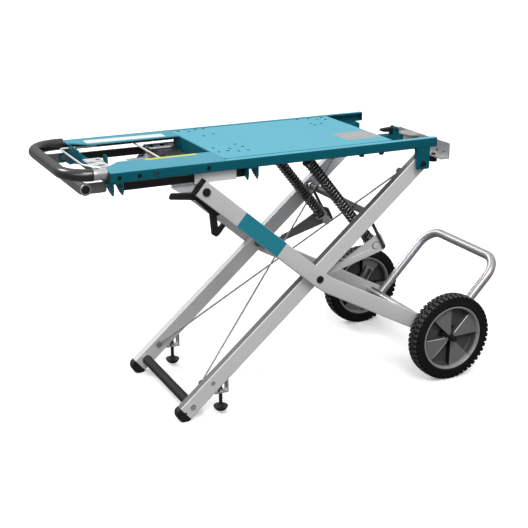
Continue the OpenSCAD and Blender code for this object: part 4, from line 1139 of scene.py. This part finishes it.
for i, (sa, sb, s0, b0, s1, b1) in enumerate(((1, -1, -353, 7, 309, 11), (-1, 1, -349, 11, 277, 12))):
    ends = []
    for sgn, t, b in ((sa, s0, b0), (sb, s1, b1)):
        x, z = along(t, b)
        ends.append(P(x, sgn * 130.9, z))
    x, z = along(s1 + 5, b1 + 2.5)
    tip = P(x, sb * 131.3, z)
    wire(f"tie_rod_{i}", "foot_frame", MAT["tie_wire"], [ends[0], ends[1], tip], 2.0, "dark_tube", replaces=("brace_rods",) if i == 0 else (), bend=4.0)
    for j, (c, sgn) in enumerate(((ends[0], sa), (tip, sb))):
        bm = bmesh.new()
        base = Vector((c.x, sgn * mm(130.2), c.z))
        lathe(bm, [(0, 0), (mm(6.6), 0), (mm(7.2), mm(0.6)), (mm(7.2), mm(2.3)), (mm(6.8), mm(2.7)), (0, mm(2.7))], base, Vector((0, sgn, 0)), 26)
        finish_obj(f"tie_rod_eye_{i}_{j}", bm, "foot_frame", MAT["tie_wire"], "dark_tube", smooth=35)

# lock bar: one bent rod that hooks on to the latch bracket, with its guide sleeves along the rails
wire("v_lock_rods", "deck", MAT["bright_rod"], [P(-455, 132, 577), P(-490.5, 132, 577), P(-490.5, -35, 577), P(-468, -76, 577.5), P(-458, -132, 577), P(-440, -132, 577)], 2.2, "zinc", replaces=("lock_rods",), bend=8.0)
wire("lock_bar_cross", "deck", MAT["bright_rod"], [P(-322, -132, 577), P(-322, 132, 577)], 2.2, "zinc")
for side, s in (("near", -1), ("far", 1)):
    wire(f"lock_bar_sleeve_{side}", "deck", MAT["zinc"], [P(-457, s * 132, 577), P(-407, s * 132, 577)], 3.3, "zinc")
    wire(f"lock_bar_guide_{side}", "deck", MAT["black_steel"], [P(-407.2, s * 132, 577), P(-232, s * 132, 577)], 3.0, "black_steel")

# deeper pressed ends on the left channel's walls
for k, x in enumerate((-470.5, -450.0)):
    bm = bmesh.new()
    for s, inner in ((-1, ((150, 541.5), (127, 551), (112, 556.2), (112, 565.9), (172.2, 565.9))), (1, ((128, 540), (95, 549.5), (55, 556.2), (55, 565.9), (172.2, 565.9)))):
        ring = [(s * 172.2, 548.0), (s * 166.8, 538.6)] + [(s * y, z) for y, z in inner]
        a = [bm.verts.new(P(x - 0.12, y, z)) for y, z in ring]
        b = [bm.verts.new(P(x + 2.62, y, z)) for y, z in ring]
        n = len(ring)
        for i in range(n):
            bm.faces.new((a[i], a[(i + 1) % n], b[(i + 1) % n], b[i]))
        bm.faces.new(a[::-1])
        bm.faces.new(b)
    finish_obj(f"channel_wall_{k}", bm, "deck", MAT["teal_rail"], "teal_rail", smooth=30)

# painted shade: thin black ovals on the latch bracket's ears where openings would read dark
bm = bmesh.new()
for x, y, rx, ry in ((-456, -56, 9.0, 5.0), (-446, -2, 5.0, 4.0)):
    flat(bm, [(x + rx * math.cos(2 * PI * i / 20), y + ry * math.sin(2 * PI * i / 20)) for i in range(20)], 577.3, 577.65)
finish_obj("latch_bracket_slot_shade", bm, "deck", MAT["black_steel"], smooth=30)

# painted shade: a thin black sheet drawn as the slot in the end support's tongue
bm = bmesh.new()
flat(bm, [(303.0, -46.5), (308.5, -41.5), (299.0, -28.0), (294.5, -31.5)], 567.45, 567.7)
finish_obj("tongue_slot_shade", bm, "end_support", MAT["black_steel"], smooth=30)
for i, (y, z, r) in enumerate(((-155.9, 548.0, 1.8), (-129.6, 546.9, 3.2))):
    disc(f"end_plate_screw_{i}", "end_support", MAT["black_steel"], P(334.05, y, z), Vector((-1, 0, 0)), r, 0.6, 18)

for node, ob in NODES.items():
    if not ob.hide_render:
        ob.data.materials.clear()
        ob.data.materials.append(MAT[NODE_SLOT[node]])

# ---------------------------------------------------------------- floor
floor_mat = Mat("studio_floor")
path = floor_mat.node("ShaderNodeLightPath")
soft = floor_mat.noise(1.5, 3.0)
shown = floor_mat.mix(floor_mat.ramp(soft, 0.3, 0.7), (0.86, 0.86, 0.86), (0.88, 0.88, 0.875))
floor_mat.done(floor_mat.mix(path.outputs["Is Camera Ray"], (0.16, 0.16, 0.16), shown), 0.9)
floor_mat.b.inputs["Emission Color"].default_value = (1, 1, 1, 1)
floor_mat.link(floor_mat.calc("MULTIPLY", path.outputs["Is Camera Ray"], 0.22), floor_mat.b.inputs["Emission Strength"])
bm = bmesh.new()
corners = [bm.verts.new(Vector(p)) for p in ((-40, -40, 0), (40, -40, 0), (40, 60, 0), (-40, 60, 0))]
bm.faces.new(corners)
me = bpy.data.meshes.new("floor")
bm.to_mesh(me)
bm.free()
floor = bpy.data.objects.new("floor", me)
sc.collection.objects.link(floor)
me.materials.append(floor_mat.m)
floor.location.z = CAD_LO.z - 0.0002
